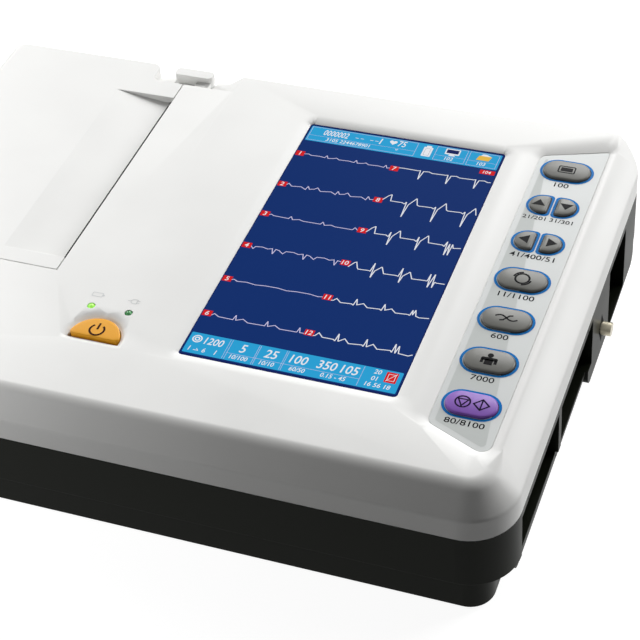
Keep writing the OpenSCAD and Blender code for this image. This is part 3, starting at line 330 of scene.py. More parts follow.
@lru_cache(maxsize=None)
def numeral(text: str) -> tuple[Outline, list[tuple[int, ...]]]:
    """Draws numerals 1 mm high, centred on the origin.

    Args:
        text: Digits to draw.

    Returns:
        Points and faces.
    """
    curve = bpy.data.curves.new("digits", "FONT")
    curve.body, curve.align_x, curve.resolution_u, curve.offset = text, "CENTER", 3, 0.010
    obj = bpy.data.objects.new("digits", curve)
    bpy.context.scene.collection.objects.link(obj)
    solid = obj.evaluated_get(bpy.context.evaluated_depsgraph_get())
    mesh = solid.to_mesh()
    xs, ys = [v.co.x for v in mesh.vertices], [v.co.y for v in mesh.vertices]
    faces = [tuple(p.vertices) for p in mesh.polygons]
    solid.to_mesh_clear()
    bpy.data.objects.remove(obj)
    bpy.data.curves.remove(curve)
    x, y = (min(xs) + max(xs)) / 2, (min(ys) + max(ys)) / 2
    height = max(ys) - min(ys)
    return [((px - x) / height, (py - y) / height) for px, py in zip(xs, ys)], faces


@dataclass
class Print:
    """Flat ink at one height, gathered into one mesh. Its places count from an origin."""

    z: float
    x: float = 0.0
    y: float = 0.0
    slant: float = 0.0       # sideways lean of the numerals for each unit of height
    verts: list[tuple[float, float, float]] = field(default_factory=list)
    faces: list[list[int]] = field(default_factory=list)

    def put(self, points: Iterable[Point], faces: Iterable[Iterable[int]]) -> None:
        """Adds points and faces.

        Args:
            points: Points, counted from the origin.
            faces: Faces, whose numbers count from the first of these points.
        """
        first = len(self.verts)
        self.verts += [(self.x + x, self.y + y, self.z) for x, y in points]
        self.faces += [[first + i for i in face] for face in faces]

    def fill(self, *outlines: Outline) -> None:
        """Fills one or more outlines.

        Args:
            outlines: The outlines.
        """
        for points in outlines:
            self.put(points, [range(len(points))])

    def ring(self, outer: Outline, inner: Outline) -> None:
        """Fills the band between two outlines with as many points.

        Args:
            outer: Outline of the band.
            inner: Outline of its hole.
        """
        n = len(outer)
        self.put(outer + inner, [(i, (i + 1) % n, n + (i + 1) % n, n + i) for i in range(n)])

    def stroke(self, points: Sequence[Point], width: float, closed: bool = False) -> None:
        """Adds a line of even width.

        Args:
            points: Corners of the line.
            width: Width of the line.
            closed: Whether the last corner joins the first.
        """
        pts = [Vector(p) for p in points]
        n = len(pts)
        sides: Outline = []
        for i, p in enumerate(pts):
            a = pts[i - 1] if i or closed else p * 2 - pts[1]
            b = pts[(i + 1) % n] if i < n - 1 or closed else p * 2 - pts[n - 2]
            da, db = (p - a).normalized(), (b - p).normalized()
            mid = Vector((-da.y - db.y, da.x + db.x))
            mid = mid / max(mid.length_squared, 0.5) * width
            sides += [tuple(p - mid), tuple(p + mid)]
        ends = [(2 * i, 2 * ((i + 1) % n)) for i in range(n if closed else n - 1)]
        self.put(sides, [(a, b, b + 1, a + 1) for a, b in ends])

    def digits(self, text: str, x: float, y: float, height: float, wide: float = 1.0) -> None:
        """Adds plain numerals.

        Args:
            text: Digits to print.
            x: Middle of the numerals.
            y: Middle of their height.
            height: Height of a digit.
            wide: Share of the normal width.
        """
        points, faces = numeral(text)
        self.put([(x + (px * wide + py * self.slant) * height, y + py * height)
                  for px, py in points], faces)

    def build(self, name: str, finish: "Finish", body: str) -> bpy.types.Object:
        """Makes the piece and sets it on its body.

        Args:
            name: Name of the piece.
            finish: Finish of the ink.
            body: CAD body that it rides on.

        Returns:
            The piece.
        """
        return mesh_piece(name, (self.verts, self.faces), finish, body)


# ------------------------------------------------------------------- finishes


class Mould(Enum):
    """Surface of the mould that a plastic piece comes from: grain in mm, its depth in mm."""

    SPARK_ERODED = (0.55, 0.010)
    FINE_ERODED = (0.40, 0.006)
    POLISHED = (2.50, 0.002)


class Working(Enum):
    """How a metal was worked: grain length in mm along X, Y and Z, and the groove's depth in mm."""

    BRUSHED_Y = (0.25, 12.0, 0.25, 0.004)
    TURNED = (0.20, 0.20, 3.0, 0.003)
    PLATED = (1.5, 1.5, 1.5, 0.002)


@dataclass(frozen=True)
class Surface:
    """What all finishes share: one shader whose patterns are placed in the row's frame."""

    name: str
    colour: str

    @lru_cache(maxsize=None)
    def build(self) -> bpy.types.Material:
        """Builds the node material, once.

        Returns:
            The material.
        """
        made, tree = blank(self.name)
        place = add(tree, "ShaderNodeTexCoord").outputs["Object"]
        shader = add(tree, "ShaderNodeBsdfPrincipled", inputs=self.inputs(tree, place))
        add(tree, "ShaderNodeOutputMaterial", inputs={"Surface": shader})
        return made

    def inputs(self, tree: bpy.types.NodeTree, place: bpy.types.NodeSocket) -> Inputs:
        """Adds the finish's own nodes.

        Args:
            tree: Node tree that takes them.
            place: Socket that gives the place in the row's frame.

        Returns:
            The shader's inputs by name.
        """
        raise NotImplementedError


@dataclass(frozen=True)
class MouldedPlastic(Surface):
    """Plastic moulded in an eroded tool, which gives a soft satin with a fine even grain."""

    roughness: float = 0.42
    mould: Mould = Mould.SPARK_ERODED
    edge: float = 0.35       # radius that the light sees on sharp edges
    rubbed: float = 0.015    # how far handling and the melt's flow change shade and gloss
    shine: float = 0.5

    def inputs(self, tree: bpy.types.NodeTree, place: bpy.types.NodeSocket) -> Inputs:
        """Adds the grain, the soft edges and the faint clouds of the melt's flow.

        Args:
            tree: Node tree that takes them.
            place: Socket that gives the place in the row's frame.

        Returns:
            The shader's inputs by name.
        """
        grain_mm, depth = self.mould.value
        # The real grain is 0.05 to 0.1 mm across. It is drawn coarser, so that it shows.
        grain = add(tree, "ShaderNodeTexNoise", inputs={
            "Vector": place, "Scale": 1 / (grain_mm * MM), "Detail": 3.0, "Roughness": 0.6})
        flow = add(tree, "ShaderNodeTexNoise", inputs={
            "Vector": place, "Scale": 1 / (45 * MM), "Detail": 2.0, "Roughness": 0.5})
        rounded = add(tree, "ShaderNodeBevel", {"samples": 4}, {"Radius": self.edge * MM})
        bump = add(tree, "ShaderNodeBump", inputs={
            "Height": grain, "Distance": depth * MM, "Strength": 0.8, "Normal": rounded})
        gloss = add(tree, "ShaderNodeMapRange", inputs={
            "Value": flow, "From Min": 0.3, "From Max": 0.7,
            "To Min": self.roughness - self.rubbed * 3, "To Max": self.roughness + self.rubbed * 3})
        shade = add(tree, "ShaderNodeValToRGB", inputs={"Fac": flow}, stops=(
            (0.35, shifted(self.colour, 1 - self.rubbed)), (0.65, self.colour)))
        return {"Base Color": shade, "Roughness": gloss, "IOR": 1.53,
                "Specular IOR Level": self.shine, "Normal": bump}


@dataclass(frozen=True)
class Rubber(Surface):
    """Moulded rubber or pressed pulp, dull, with a fine bloom that lifts it from black."""

    roughness: float = 0.7
    grain: float = 0.6       # size of the bloom's specks
    bloom: int = 9           # steps of 255 that it is lighter by

    def inputs(self, tree: bpy.types.NodeTree, place: bpy.types.NodeSocket) -> Inputs:
        """Adds the bloom and its faint relief.

        Args:
            tree: Node tree that takes them.
            place: Socket that gives the place in the row's frame.

        Returns:
            The shader's inputs by name.
        """
        grain = add(tree, "ShaderNodeTexNoise", inputs={
            "Vector": place, "Scale": 1 / (self.grain * MM), "Detail": 4.0})
        bump = add(tree, "ShaderNodeBump", inputs={
            "Height": grain, "Distance": 0.012 * MM, "Strength": 0.7})
        shade = add(tree, "ShaderNodeValToRGB", inputs={"Fac": grain}, stops=(
            (0.35, self.colour), (0.65, shifted(self.colour, plus=self.bloom))))
        return {"Base Color": shade, "Roughness": self.roughness, "IOR": 1.52, "Normal": bump}


@dataclass(frozen=True)
class Metal(Surface):
    """Sheet, bar or plated metal with the fine lines or ripple that its working leaves."""

    roughness: float = 0.32
    working: Working = Working.PLATED

    def inputs(self, tree: bpy.types.NodeTree, place: bpy.types.NodeSocket) -> Inputs:
        """Adds the lines of the working to the relief and the gloss.

        Args:
            tree: Node tree that takes them.
            place: Socket that gives the place in the row's frame.

        Returns:
            The shader's inputs by name.
        """
        x, y, z, depth = self.working.value
        stretch = add(tree, "ShaderNodeMapping", inputs={
            "Vector": place, "Scale": (1 / (x * MM), 1 / (y * MM), 1 / (z * MM))})
        lines = add(tree, "ShaderNodeTexNoise", inputs={
            "Vector": stretch, "Scale": 1.0, "Detail": 3.0})
        bump = add(tree, "ShaderNodeBump", inputs={
            "Height": lines, "Distance": depth * MM, "Strength": 0.7})
        gloss = add(tree, "ShaderNodeMapRange", inputs={
            "Value": lines, "To Min": self.roughness - 0.06, "To Max": self.roughness + 0.08})
        return {"Base Color": linear(self.colour), "Metallic": 1.0, "Roughness": gloss,
                "Normal": bump}


@dataclass(frozen=True)
class Ink(Surface):
    """Screen-printed ink on film or plastic, even in colour with a faint mesh in its gloss."""

    roughness: float = 0.38
    shine: float = 0.03

    def inputs(self, tree: bpy.types.NodeTree, place: bpy.types.NodeSocket) -> Inputs:
        """Adds the mesh of the printing screen.

        Args:
            tree: Node tree that takes them.
            place: Socket that gives the place in the row's frame.

        Returns:
            The shader's inputs by name.
        """
        # About 90 threads a centimetre, drawn as 0.3 mm cells so that they show.
        cells = add(tree, "ShaderNodeTexNoise", inputs={
            "Vector": place, "Scale": 1 / (0.3 * MM), "Detail": 1.0})
        gloss = add(tree, "ShaderNodeMapRange", inputs={
            "Value": cells, "To Min": self.roughness - 0.05, "To Max": self.roughness + 0.05})
        return {"Base Color": linear(self.colour), "Roughness": gloss, "IOR": 1.5,
                "Specular IOR Level": self.shine}


@dataclass(frozen=True)
class LitPixels(Surface):
    """A backlit colour panel behind coated acrylic: it glows evenly and mirrors very faintly."""

    glow: float = 0.86

    def inputs(self, tree: bpy.types.NodeTree, place: bpy.types.NodeSocket) -> Inputs:
        """Adds the backlight's clouds, about 60 mm across and a few percent deep.

        Args:
            tree: Node tree that takes them.
            place: Socket that gives the place in the row's frame.

        Returns:
            The shader's inputs by name.
        """
        cloud = add(tree, "ShaderNodeTexNoise", inputs={
            "Vector": place, "Scale": 1 / (60 * MM), "Detail": 1.0})
        level = add(tree, "ShaderNodeMapRange", inputs={
            "Value": cloud, "To Min": self.glow - 0.02, "To Max": self.glow + 0.02})
        return {"Base Color": (0.004, 0.004, 0.005, 1.0), "Roughness": 0.3, "IOR": 1.49,
                "Specular IOR Level": 0.004, "Emission Color": linear(self.colour),
                "Emission Strength": level}


@dataclass(frozen=True)
class LampLens(Surface):
    """A moulded light-emitting diode: a clear tinted dome over a diffuse core."""

    glow: float = 0.5

    def inputs(self, tree: bpy.types.NodeTree, place: bpy.types.NodeSocket) -> Inputs:
        """Adds the core's clouds, about 1 mm across.

        Args:
            tree: Node tree that takes them.
            place: Socket that gives the place in the row's frame.

        Returns:
            The shader's inputs by name.
        """
        cloud = add(tree, "ShaderNodeTexNoise", inputs={
            "Vector": place, "Scale": 1 / MM, "Detail": 1.0})
        core = add(tree, "ShaderNodeMapRange", inputs={
            "Value": cloud, "To Min": self.glow * 0.6, "To Max": self.glow})
        return {"Base Color": linear(self.colour), "Roughness": 0.12, "IOR": 1.54,
                "Emission Color": linear(self.colour), "Emission Strength": core}


@dataclass(frozen=True)
class CircuitBoard(Surface):
    """Glass-epoxy laminate under green solder mask, with copper tracks that show as paler lines."""

    track: str = "#2F7A50"

    def inputs(self, tree: bpy.types.NodeTree, place: bpy.types.NodeSocket) -> Inputs:
        """Adds the tracks, which lie about 1.3 mm apart.

        Args:
            tree: Node tree that takes them.
            place: Socket that gives the place in the row's frame.

        Returns:
            The shader's inputs by name.
        """
        tracks = add(tree, "ShaderNodeTexVoronoi", {"distance": "MANHATTAN", "feature": "F1"}, {
            "Vector": place, "Scale": 1 / (2.6 * MM), "Randomness": 0.7})
        shade = add(tree, "ShaderNodeValToRGB", inputs={"Fac": tracks}, stops=(
            (0.12, self.track), (0.16, self.colour)))
        bump = add(tree, "ShaderNodeBump", inputs={
            "Height": tracks, "Distance": 0.03 * MM, "Strength": 0.3})
        return {"Base Color": shade, "Roughness": 0.28, "IOR": 1.5, "Normal": bump}


@dataclass(frozen=True)
class WoundPaper(Surface):
    """Coated chart paper wound on its core: smooth outside, with fine rings on its ends."""

    ring: str = "#D9D2C8"

    def inputs(self, tree: bpy.types.NodeTree, place: bpy.types.NodeSocket) -> Inputs:
        """Adds the rings about the roll's axis.

        Args:
            tree: Node tree that takes them.
            place: Socket that gives the place in the row's frame.

        Returns:
            The shader's inputs by name.
        """
        low, high = box_mm("paper_roll")
        about = add(tree, "ShaderNodeVectorMath", {"operation": "SUBTRACT"},
                    {0: place, 1: (low + high) / 2 * MM})
        # A turn of paper is 0.07 mm. The rings are drawn 0.5 mm apart, so that they show.
        turns = add(tree, "ShaderNodeTexWave", {"wave_type": "RINGS", "rings_direction": "Y"},
                    {"Vector": about, "Scale": 1 / (0.5 * MM) / 20, "Distortion": 0.4,
                     "Detail": 2.0})
        shade = add(tree, "ShaderNodeValToRGB", inputs={"Fac": turns.outputs["Fac"]}, stops=(
            (0.0, self.ring), (0.4, self.colour)))
        return {"Base Color": shade, "Roughness": 0.55, "IOR": 1.5}


@dataclass(frozen=True)
class Sleeve(Surface):
    """Shrink sleeve, film or glaze: thin, glossy and slightly rippled."""

    roughness: float = 0.25
    ripple: float = 9.0      # wave to wave

    def inputs(self, tree: bpy.types.NodeTree, place: bpy.types.NodeSocket) -> Inputs:
        """Adds the ripple.

        Args:
            tree: Node tree that takes them.
            place: Socket that gives the place in the row's frame.

        Returns:
            The shader's inputs by name.
        """
        ripple = add(tree, "ShaderNodeTexNoise", inputs={
            "Vector": place, "Scale": 1 / (self.ripple * MM), "Detail": 2.0})
        bump = add(tree, "ShaderNodeBump", inputs={
            "Height": ripple, "Distance": 0.15 * MM, "Strength": 0.5})
        return {"Base Color": linear(self.colour), "Roughness": self.roughness, "IOR": 1.5,
                "Normal": bump}


class Finish(Enum):
    """Every finish on the instrument."""

    SHELL = MouldedPlastic("ABS, pale grey-white, spark-eroded", "#E9E9E7", roughness=0.44,
                           shine=0.3)
    BASE = MouldedPlastic("ABS, charcoal olive, spark-eroded", "#13160F", roughness=0.36,
                          mould=Mould.SPARK_ERODED, edge=0.3, rubbed=0.01, shine=0.045)
    INSIDE = MouldedPlastic("ABS, dark grey, plain moulded", "#4A4C48", roughness=0.55,
                            mould=Mould.FINE_ERODED)
    FILM = MouldedPlastic("Polycarbonate film, silver grey, matt printed", "#D2D5D4",
                          roughness=0.46, mould=Mould.FINE_ERODED, edge=0.1, rubbed=0.02,
                          shine=0.25)
    GREY_KEY = MouldedPlastic("Keycap ABS, warm grey, satin moulded", "#5E5E59", roughness=0.42,
                              mould=Mould.FINE_ERODED, edge=0.2, rubbed=0.03, shine=0.3)
    VIOLET_KEY = MouldedPlastic("Keycap ABS, violet, satin moulded", "#8152B4", roughness=0.38,
                                mould=Mould.FINE_ERODED, edge=0.2, rubbed=0.03, shine=0.25)
    AMBER_KEY = MouldedPlastic("Keycap ABS, amber, satin moulded", "#E9A426", roughness=0.38,
                               mould=Mould.FINE_ERODED, edge=0.2, rubbed=0.03, shine=0.2)
    NYLON = MouldedPlastic("Acetal, natural, machined", "#E4DECB", roughness=0.40,
                           mould=Mould.POLISHED, edge=0.05)
    SOCKET = MouldedPlastic("Nylon 66, black, moulded", "#1C1C1C", roughness=0.48,
                            mould=Mould.FINE_ERODED, edge=0.15, rubbed=0.03)
    CARD = MouldedPlastic("Spiral card tube, brown, wound", "#B08D62", roughness=0.8,
                          mould=Mould.SPARK_ERODED, edge=0.05, rubbed=0.06)
    CONE = Rubber("Pulp paper cone, black, pressed", "#242424", roughness=0.85, grain=0.9)
    RUBBER = Rubber("Nitrile rubber, black, moulded", "#1C1C1B")
    PLATEN = Rubber("Chloroprene sleeve, charcoal, ground", "#2A2A2A", roughness=0.62, grain=0.35)
    WRAP = Sleeve("PVC shrink sleeve, blue, shrunk", "#2F5D9B")
    RIBBON = Sleeve("Polyimide film, amber, laminated", "#B98A3A", roughness=0.35, ripple=14.0)
    CERAMIC = Sleeve("Alumina strip, brown glaze, fired", "#5F4027", roughness=0.18, ripple=20.0)
    STEEL = Metal("Mild steel, bright zinc, plated", "#C3C6C8", roughness=0.30)
    SHEET_STEEL = Metal("Sheet steel, zinc, rolled", "#B4B7B8", roughness=0.38,
                        working=Working.BRUSHED_Y)
    SHIELD = Metal("Tinplate, dull, pressed", "#A4A6A8", roughness=0.42, working=Working.BRUSHED_Y)
    ALUMINIUM = Metal("Aluminium, natural, extruded", "#B3B6B8", roughness=0.36,
                      working=Working.BRUSHED_Y)
    CAN = Metal("Aluminium, natural, drawn", "#9B9D9F", roughness=0.34, working=Working.TURNED)
    PLATED_BRASS = Metal("Brass, nickel, plated", "#BDB6A2", roughness=0.30, working=Working.TURNED)
    BRASS = Metal("Brass, machined, bare", "#C79F49", roughness=0.28, working=Working.TURNED)
    NICKEL = Metal("Steel, nickel, plated", "#C8C6C0", roughness=0.24)
    BOARD = CircuitBoard("Glass-epoxy board, green mask, etched", "#1F5D3C")
    PAPER = WoundPaper("Thermal chart paper, wound", "#F4F0EA")
    RING_INK = Ink("Screen ink, blue, printed", "#0E72BC", roughness=0.30)
    DARK_INK = Ink("Screen ink, black, printed", "#0E0E10")
    CAPTION_INK = Ink("Screen ink, graphite, printed", "#1A1C20")
    PORT_INK = Ink("Pad ink, matt black, printed", "#0B0B0C", roughness=0.7)
    PANEL_INK = Ink("Screen ink, silver grey, printed", "#C6CAC8", roughness=0.42)
    MARK_INK = Ink("Pad ink, light grey, printed", "#CFD1D1")
    # Black so that the paper slot at the door's lip reads dark: painted shade.
    BLACKENED = Metal("Spring steel, black as painted slot shade, etched", "#17171A", roughness=0.5,
                      working=Working.BRUSHED_Y)
    VIOLET_INK = Ink("Screen ink, deep violet, printed", "#1C0B33")
    BROWN_INK = Ink("Screen ink, dark brown, printed", "#30120A")
    NIGHT = LitPixels("Backlit panel, deep blue, coated", "#0C3072")
    RIM = LitPixels("Backlit panel, navy border, coated", "#0A1D5C")
    SKY = LitPixels("Backlit panel, cyan, coated", "#2BA8DF")
    WHITE = LitPixels("Backlit panel, white, coated", "#F2F4FA")
    LILAC = LitPixels("Backlit panel, lilac, coated", "#D9D2F2")
    RED = LitPixels("Backlit panel, red, coated", "#DE1F1F")
    YELLOW = LitPixels("Backlit panel, yellow, coated", "#F1C24C")
    LAMP_ON = LampLens("Epoxy lamp, lime, lit", "#96E24A", glow=0.55)
    # The unlit lamp still glows faintly: painted light on a lamp that is off.
    LAMP_OFF = LampLens("Epoxy lamp, green, unlit", "#1F8A3C", glow=0.06)

    @property
    def material(self) -> bpy.types.Material:
        """The finish's node material."""
        return self.value.build()


Looks = dict[Finish, str]    # names of CAD nodes by their finish, with spaces between




# --------------------------------------------------------------- sub-assemblies


class SubAssembly:
    """CAD nodes that take a finish as they are, and pieces that are made for the scene."""

    looks: ClassVar[Looks] = {}

    def build(self) -> list[bpy.types.Object]:
        """Dresses the nodes and makes the pieces.

        Returns:
            The new pieces.
        """
        for finish, nodes in self.looks.items():
            for node in nodes.split():
                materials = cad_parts[node].data.materials
                materials.clear()
                materials.append(finish.material)
        return self.pieces()

    def pieces(self) -> list[bpy.types.Object]:
        """Makes the pieces, where there are any."""
        return []


@dataclass(frozen=True)
class Rounding:
    """One set of a shell's edges and the rounding that they take."""

    chosen: Callable[[bmesh.types.BMEdge], bool]
    width: float
    steps: int


@dataclass
class Case(SubAssembly):
    """Upper and lower shell with the feet, battery hatch and screws."""

    looks: ClassVar[Looks] = {
        Finish.BASE: "bottom_case battery_cover", Finish.RUBBER: "rubber_feet display_gasket",
        Finish.WRAP: "battery_pack", Finish.STEEL: "battery_screw case_screws"}
    slope_round: float = 3.4     # setback of the soft edge between the top and the slope
    band_round: float = 0.9      # setback of the edge between the slope and the upright band
    rear_round: float = 1.6      # setback of the top's edge along the back
    border: float = 20.0         # the outer slope lies within this strip along the front and right

    def pieces(self) -> list[bpy.types.Object]:
        """Rounds the upper shell's outer edges.

        Returns:
            The new shell.
        """
        self.low, self.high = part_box("top_cover")
        return [self.softened("top_cover", Finish.SHELL, "case", [
            Rounding(self.on_slope_top, self.slope_round, 8),
            Rounding(self.on_slope_foot, self.band_round, 3),
            Rounding(self.on_rear_top, self.rear_round, 4)])]

    def on_top(self, edge: bmesh.types.BMEdge) -> bool:
        """Tells whether an edge borders the flat top."""
        return (all(abs(v.co.z - self.high.z) < 2e-5 for v in edge.verts)
                and max(face.normal.z for face in edge.link_faces) > 0.99)

    def on_slope_top(self, edge: bmesh.types.BMEdge) -> bool:
        """Picks the edge between the flat top and the outer slope.

        Args:
            edge: Edge of the shell.

        Returns:
            Whether it is one of them.
        """
        strip = self.border * MM
        outer = all(v.co.x > self.high.x - strip or v.co.y < self.low.y + strip
                    for v in edge.verts)
        return outer and self.on_top(edge) and 0.5 < min(f.normal.z for f in edge.link_faces) < 0.9

    def on_slope_foot(self, edge: bmesh.types.BMEdge) -> bool:
        """Picks the edge between the slope and the upright band."""
        steep, flat = sorted(face.normal.z for face in edge.link_faces)
        return abs(steep) < 0.05 and 0.5 < flat < 0.9 and self.low.z < edge.verts[0].co.z

    def on_rear_top(self, edge: bmesh.types.BMEdge) -> bool:
        """Picks the top's edge along the back wall."""
        return (all(abs(v.co.y - self.high.y) < 2e-5 for v in edge.verts)
                and self.on_top(edge) and abs(min(f.normal.z for f in edge.link_faces)) < 0.05)

    def softened(self, node: str, finish: Finish, body: str,
                 rules: Sequence[Rounding]) -> bpy.types.Object:
        """Copies a CAD node's mesh, rounds some of its edges and shows it in the node's place.

        Args:
            node: CAD node.
            finish: Finish of the piece.
            body: CAD body that it rides on.
            rules: Edges to round, in order.

        Returns:
            The new piece.
        """
        bm = bmesh.new()
        bm.from_mesh(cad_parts[node].data)
        bmesh.ops.remove_doubles(bm, verts=bm.verts, dist=1e-6)
        bmesh.ops.dissolve_limit(bm, angle_limit=math.radians(0.3), verts=bm.verts, edges=bm.edges)
        for rule in rules:
            picked = [e for e in bm.edges if len(e.link_faces) == 2 and rule.chosen(e)]
            log.info("%s: %d edges rounded by %.1f mm", node, len(picked), rule.width)
            bmesh.ops.bevel(bm, geom=picked, offset=rule.width * MM, segments=rule.steps,
                            profile=0.5, affect="EDGES", clamp_overlap=False)
        # Corners that a bevel leaves on one another are welded, so that every face has an area.
        bmesh.ops.remove_doubles(bm, verts=bm.verts, dist=1e-6)
        bmesh.ops.triangulate(bm, faces=[f for f in bm.faces if len(f.verts) > 4])
        mesh = bpy.data.meshes.new(node + "_skin")
        bm.to_mesh(mesh)
        bm.free()
        obj = shown(mesh, finish, body, 30)
        # Flat faces keep their own normal, so that only the roundings shade from face to face.
        weigh = obj.modifiers.new("flat_faces", "WEIGHTED_NORMAL")
        weigh.keep_sharp, weigh.weight = True, 80
        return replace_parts(obj, node)


@dataclass(frozen=True)
class Wave:
    """Shape of one trace, in millimetres from the window's front left corner."""

    level: float                 # resting height
    first: float                 # first spike
    pitch: float                 # spike to spike
    lead_in: tuple[Point, ...]   # points from the trace's start
    beat: tuple[Point, ...]      # points from a spike on the resting height
    last: tuple[Point, ...] = ()     # points of a last, double beat

    def beats(self, start: float, stop: float) -> Outline:
        """Strings the beats together.

        Args:
            start: Where the trace begins, from the window's left edge.
            stop: Where it ends.

        Returns:
            Points of the trace from left to right.
        """
        spikes = [self.first]
        while spikes[-1] + self.pitch < stop - 1.0:
            spikes.append(spikes[-1] + self.pitch)
        line = [(start, self.level)] + [(start + x, self.level + y) for x, y in self.lead_in]
        for spike in spikes:
            shape = self.last if self.last and spike == spikes[-1] else self.beat
            line += [(spike + x, self.level + y) for x, y in shape]
        return [p for p in line if p[0] < stop - 0.3] + [(stop, self.level)]


# The traces of the first and second column, from the highest row down.
WAVES = ((
    Wave(132.9, 14.7, 13.6, ((2.0, 0.5), (3.4, -0.2)),
         ((-3.0, 0.1), (-0.7, -0.3), (0, 1.4), (0.9, -0.4), (3.4, 0.1), (4.6, 0.7), (6.0, -0.2))),
    Wave(110.4, 14.0, 13.7, ((0.9, 1.3), (2.6, -0.3)),
         ((-2.9, 0.3), (-0.6, -1.0), (0, 1.4), (1.1, -0.4), (3.2, 0.2), (4.3, 1.4), (6.2, -0.6))),
    Wave(89.3, 14.0, 14.3, ((1.0, 0.7), (2.2, 0.0)),
         ((-0.7, -0.2), (0, 1.4), (1.2, -0.5), (3.9, 0.3), (6.0, -0.3))),
    Wave(68.5, 14.7, 13.6, ((1.5, -1.7), (2.1, -0.1), (5.0, 0.3)),
         ((-2.9, -0.3), (-1.0, 0.4), (0, -2.8), (0.6, 0.3), (2.1, 0.0), (4.2, -1.6), (5.2, 0.1),
          (8.4, 0.4))),
    Wave(46.2, 14.5, 13.6, ((1.0, 0.6), (2.8, -0.3)), ((-3.5, 0.2), (0.4, -0.4), (4.6, 0.1))),
    Wave(24.0, 14.3, 13.6, ((1.2, 1.3), (3.4, 0.0)),
         ((-0.5, -0.1), (0, 2.7), (0.8, -0.1), (3.5, 1.2), (6.0, -0.3)))), (
    Wave(134.0, 58.1, 12.4, ((2.0, 0.2),),
         ((-1.5, 0.1), (-0.6, 0.4), (0, -5.6), (0.9, 0.1), (3.2, 0.5), (4.8, -0.2))),
    Wave(111.3, 58.8, 12.9, ((1.8, 3.2), (3.0, 4.3), (3.6, 0.1)),
         ((-2.2, 0.2), (-1.2, -0.4), (-0.5, 1.0), (0, -8.9), (0.7, -0.5), (3.1, 4.4), (4.4, 0.2),
          (5.2, -0.2))),
    Wave(89.2, 58.6, 12.25, ((1.8, 3.2), (3.0, 4.5), (3.8, 0.0)),
         ((-2.0, 0.3), (-0.9, -0.5), (-0.5, 2.6), (0, -5.7), (0.7, 0.2), (3.0, 4.4), (4.2, 0.1)),
         ((-2.0, 0.2), (-1.2, -0.5), (-0.5, 2.8), (0.1, -5.7), (0.8, 1.6), (1.6, -5.5), (2.0, 1.6),
          (2.8, -0.7))),
    Wave(66.3, 58.6, 12.0, ((1.8, 3.2), (2.6, 3.7), (3.8, 0.6), (4.4, -0.3)),
         ((-2.2, 0.0), (-1.2, -0.2), (-0.6, 5.0), (0, -3.9), (0.6, 0.4), (2.8, 3.5), (4.6, -0.3)),
         ((-2.2, 0.1), (-1.0, 0.1), (-0.6, 4.5), (0, -3.6), (0.6, 0.9), (1.2, 4.7), (1.8, -3.4),
          (2.2, 0.2), (3.0, -0.2))),
    Wave(45.2, 57.9, 11.8, ((1.0, 0.2), (2.0, 1.6), (4.2, -0.3)),
         ((-1.3, 0.1), (-0.5, -0.5), (0, 3.4), (0.9, 0.1), (3.3, 1.5), (5.4, -0.4)),
         ((-1.3, 0.1), (-0.5, -0.3), (0, 3.0), (0.5, 0.2), (1.1, 3.3), (2.0, -0.1), (3.6, -0.6))),
    Wave(23.7, 57.7, 11.7, ((0.8, 0.2), (2.0, 2.2), (4.0, 0.1)),
         ((-1.2, 0.1), (-0.5, -0.6), (0, 3.7), (0.8, -0.5), (3.0, 1.6), (5.2, -0.6)),
         ((-1.2, 0.1), (-0.5, -0.8), (0, 4.1), (0.9, -1.0), (1.6, 3.4), (2.3, -0.7), (6.4, -1.0)))))


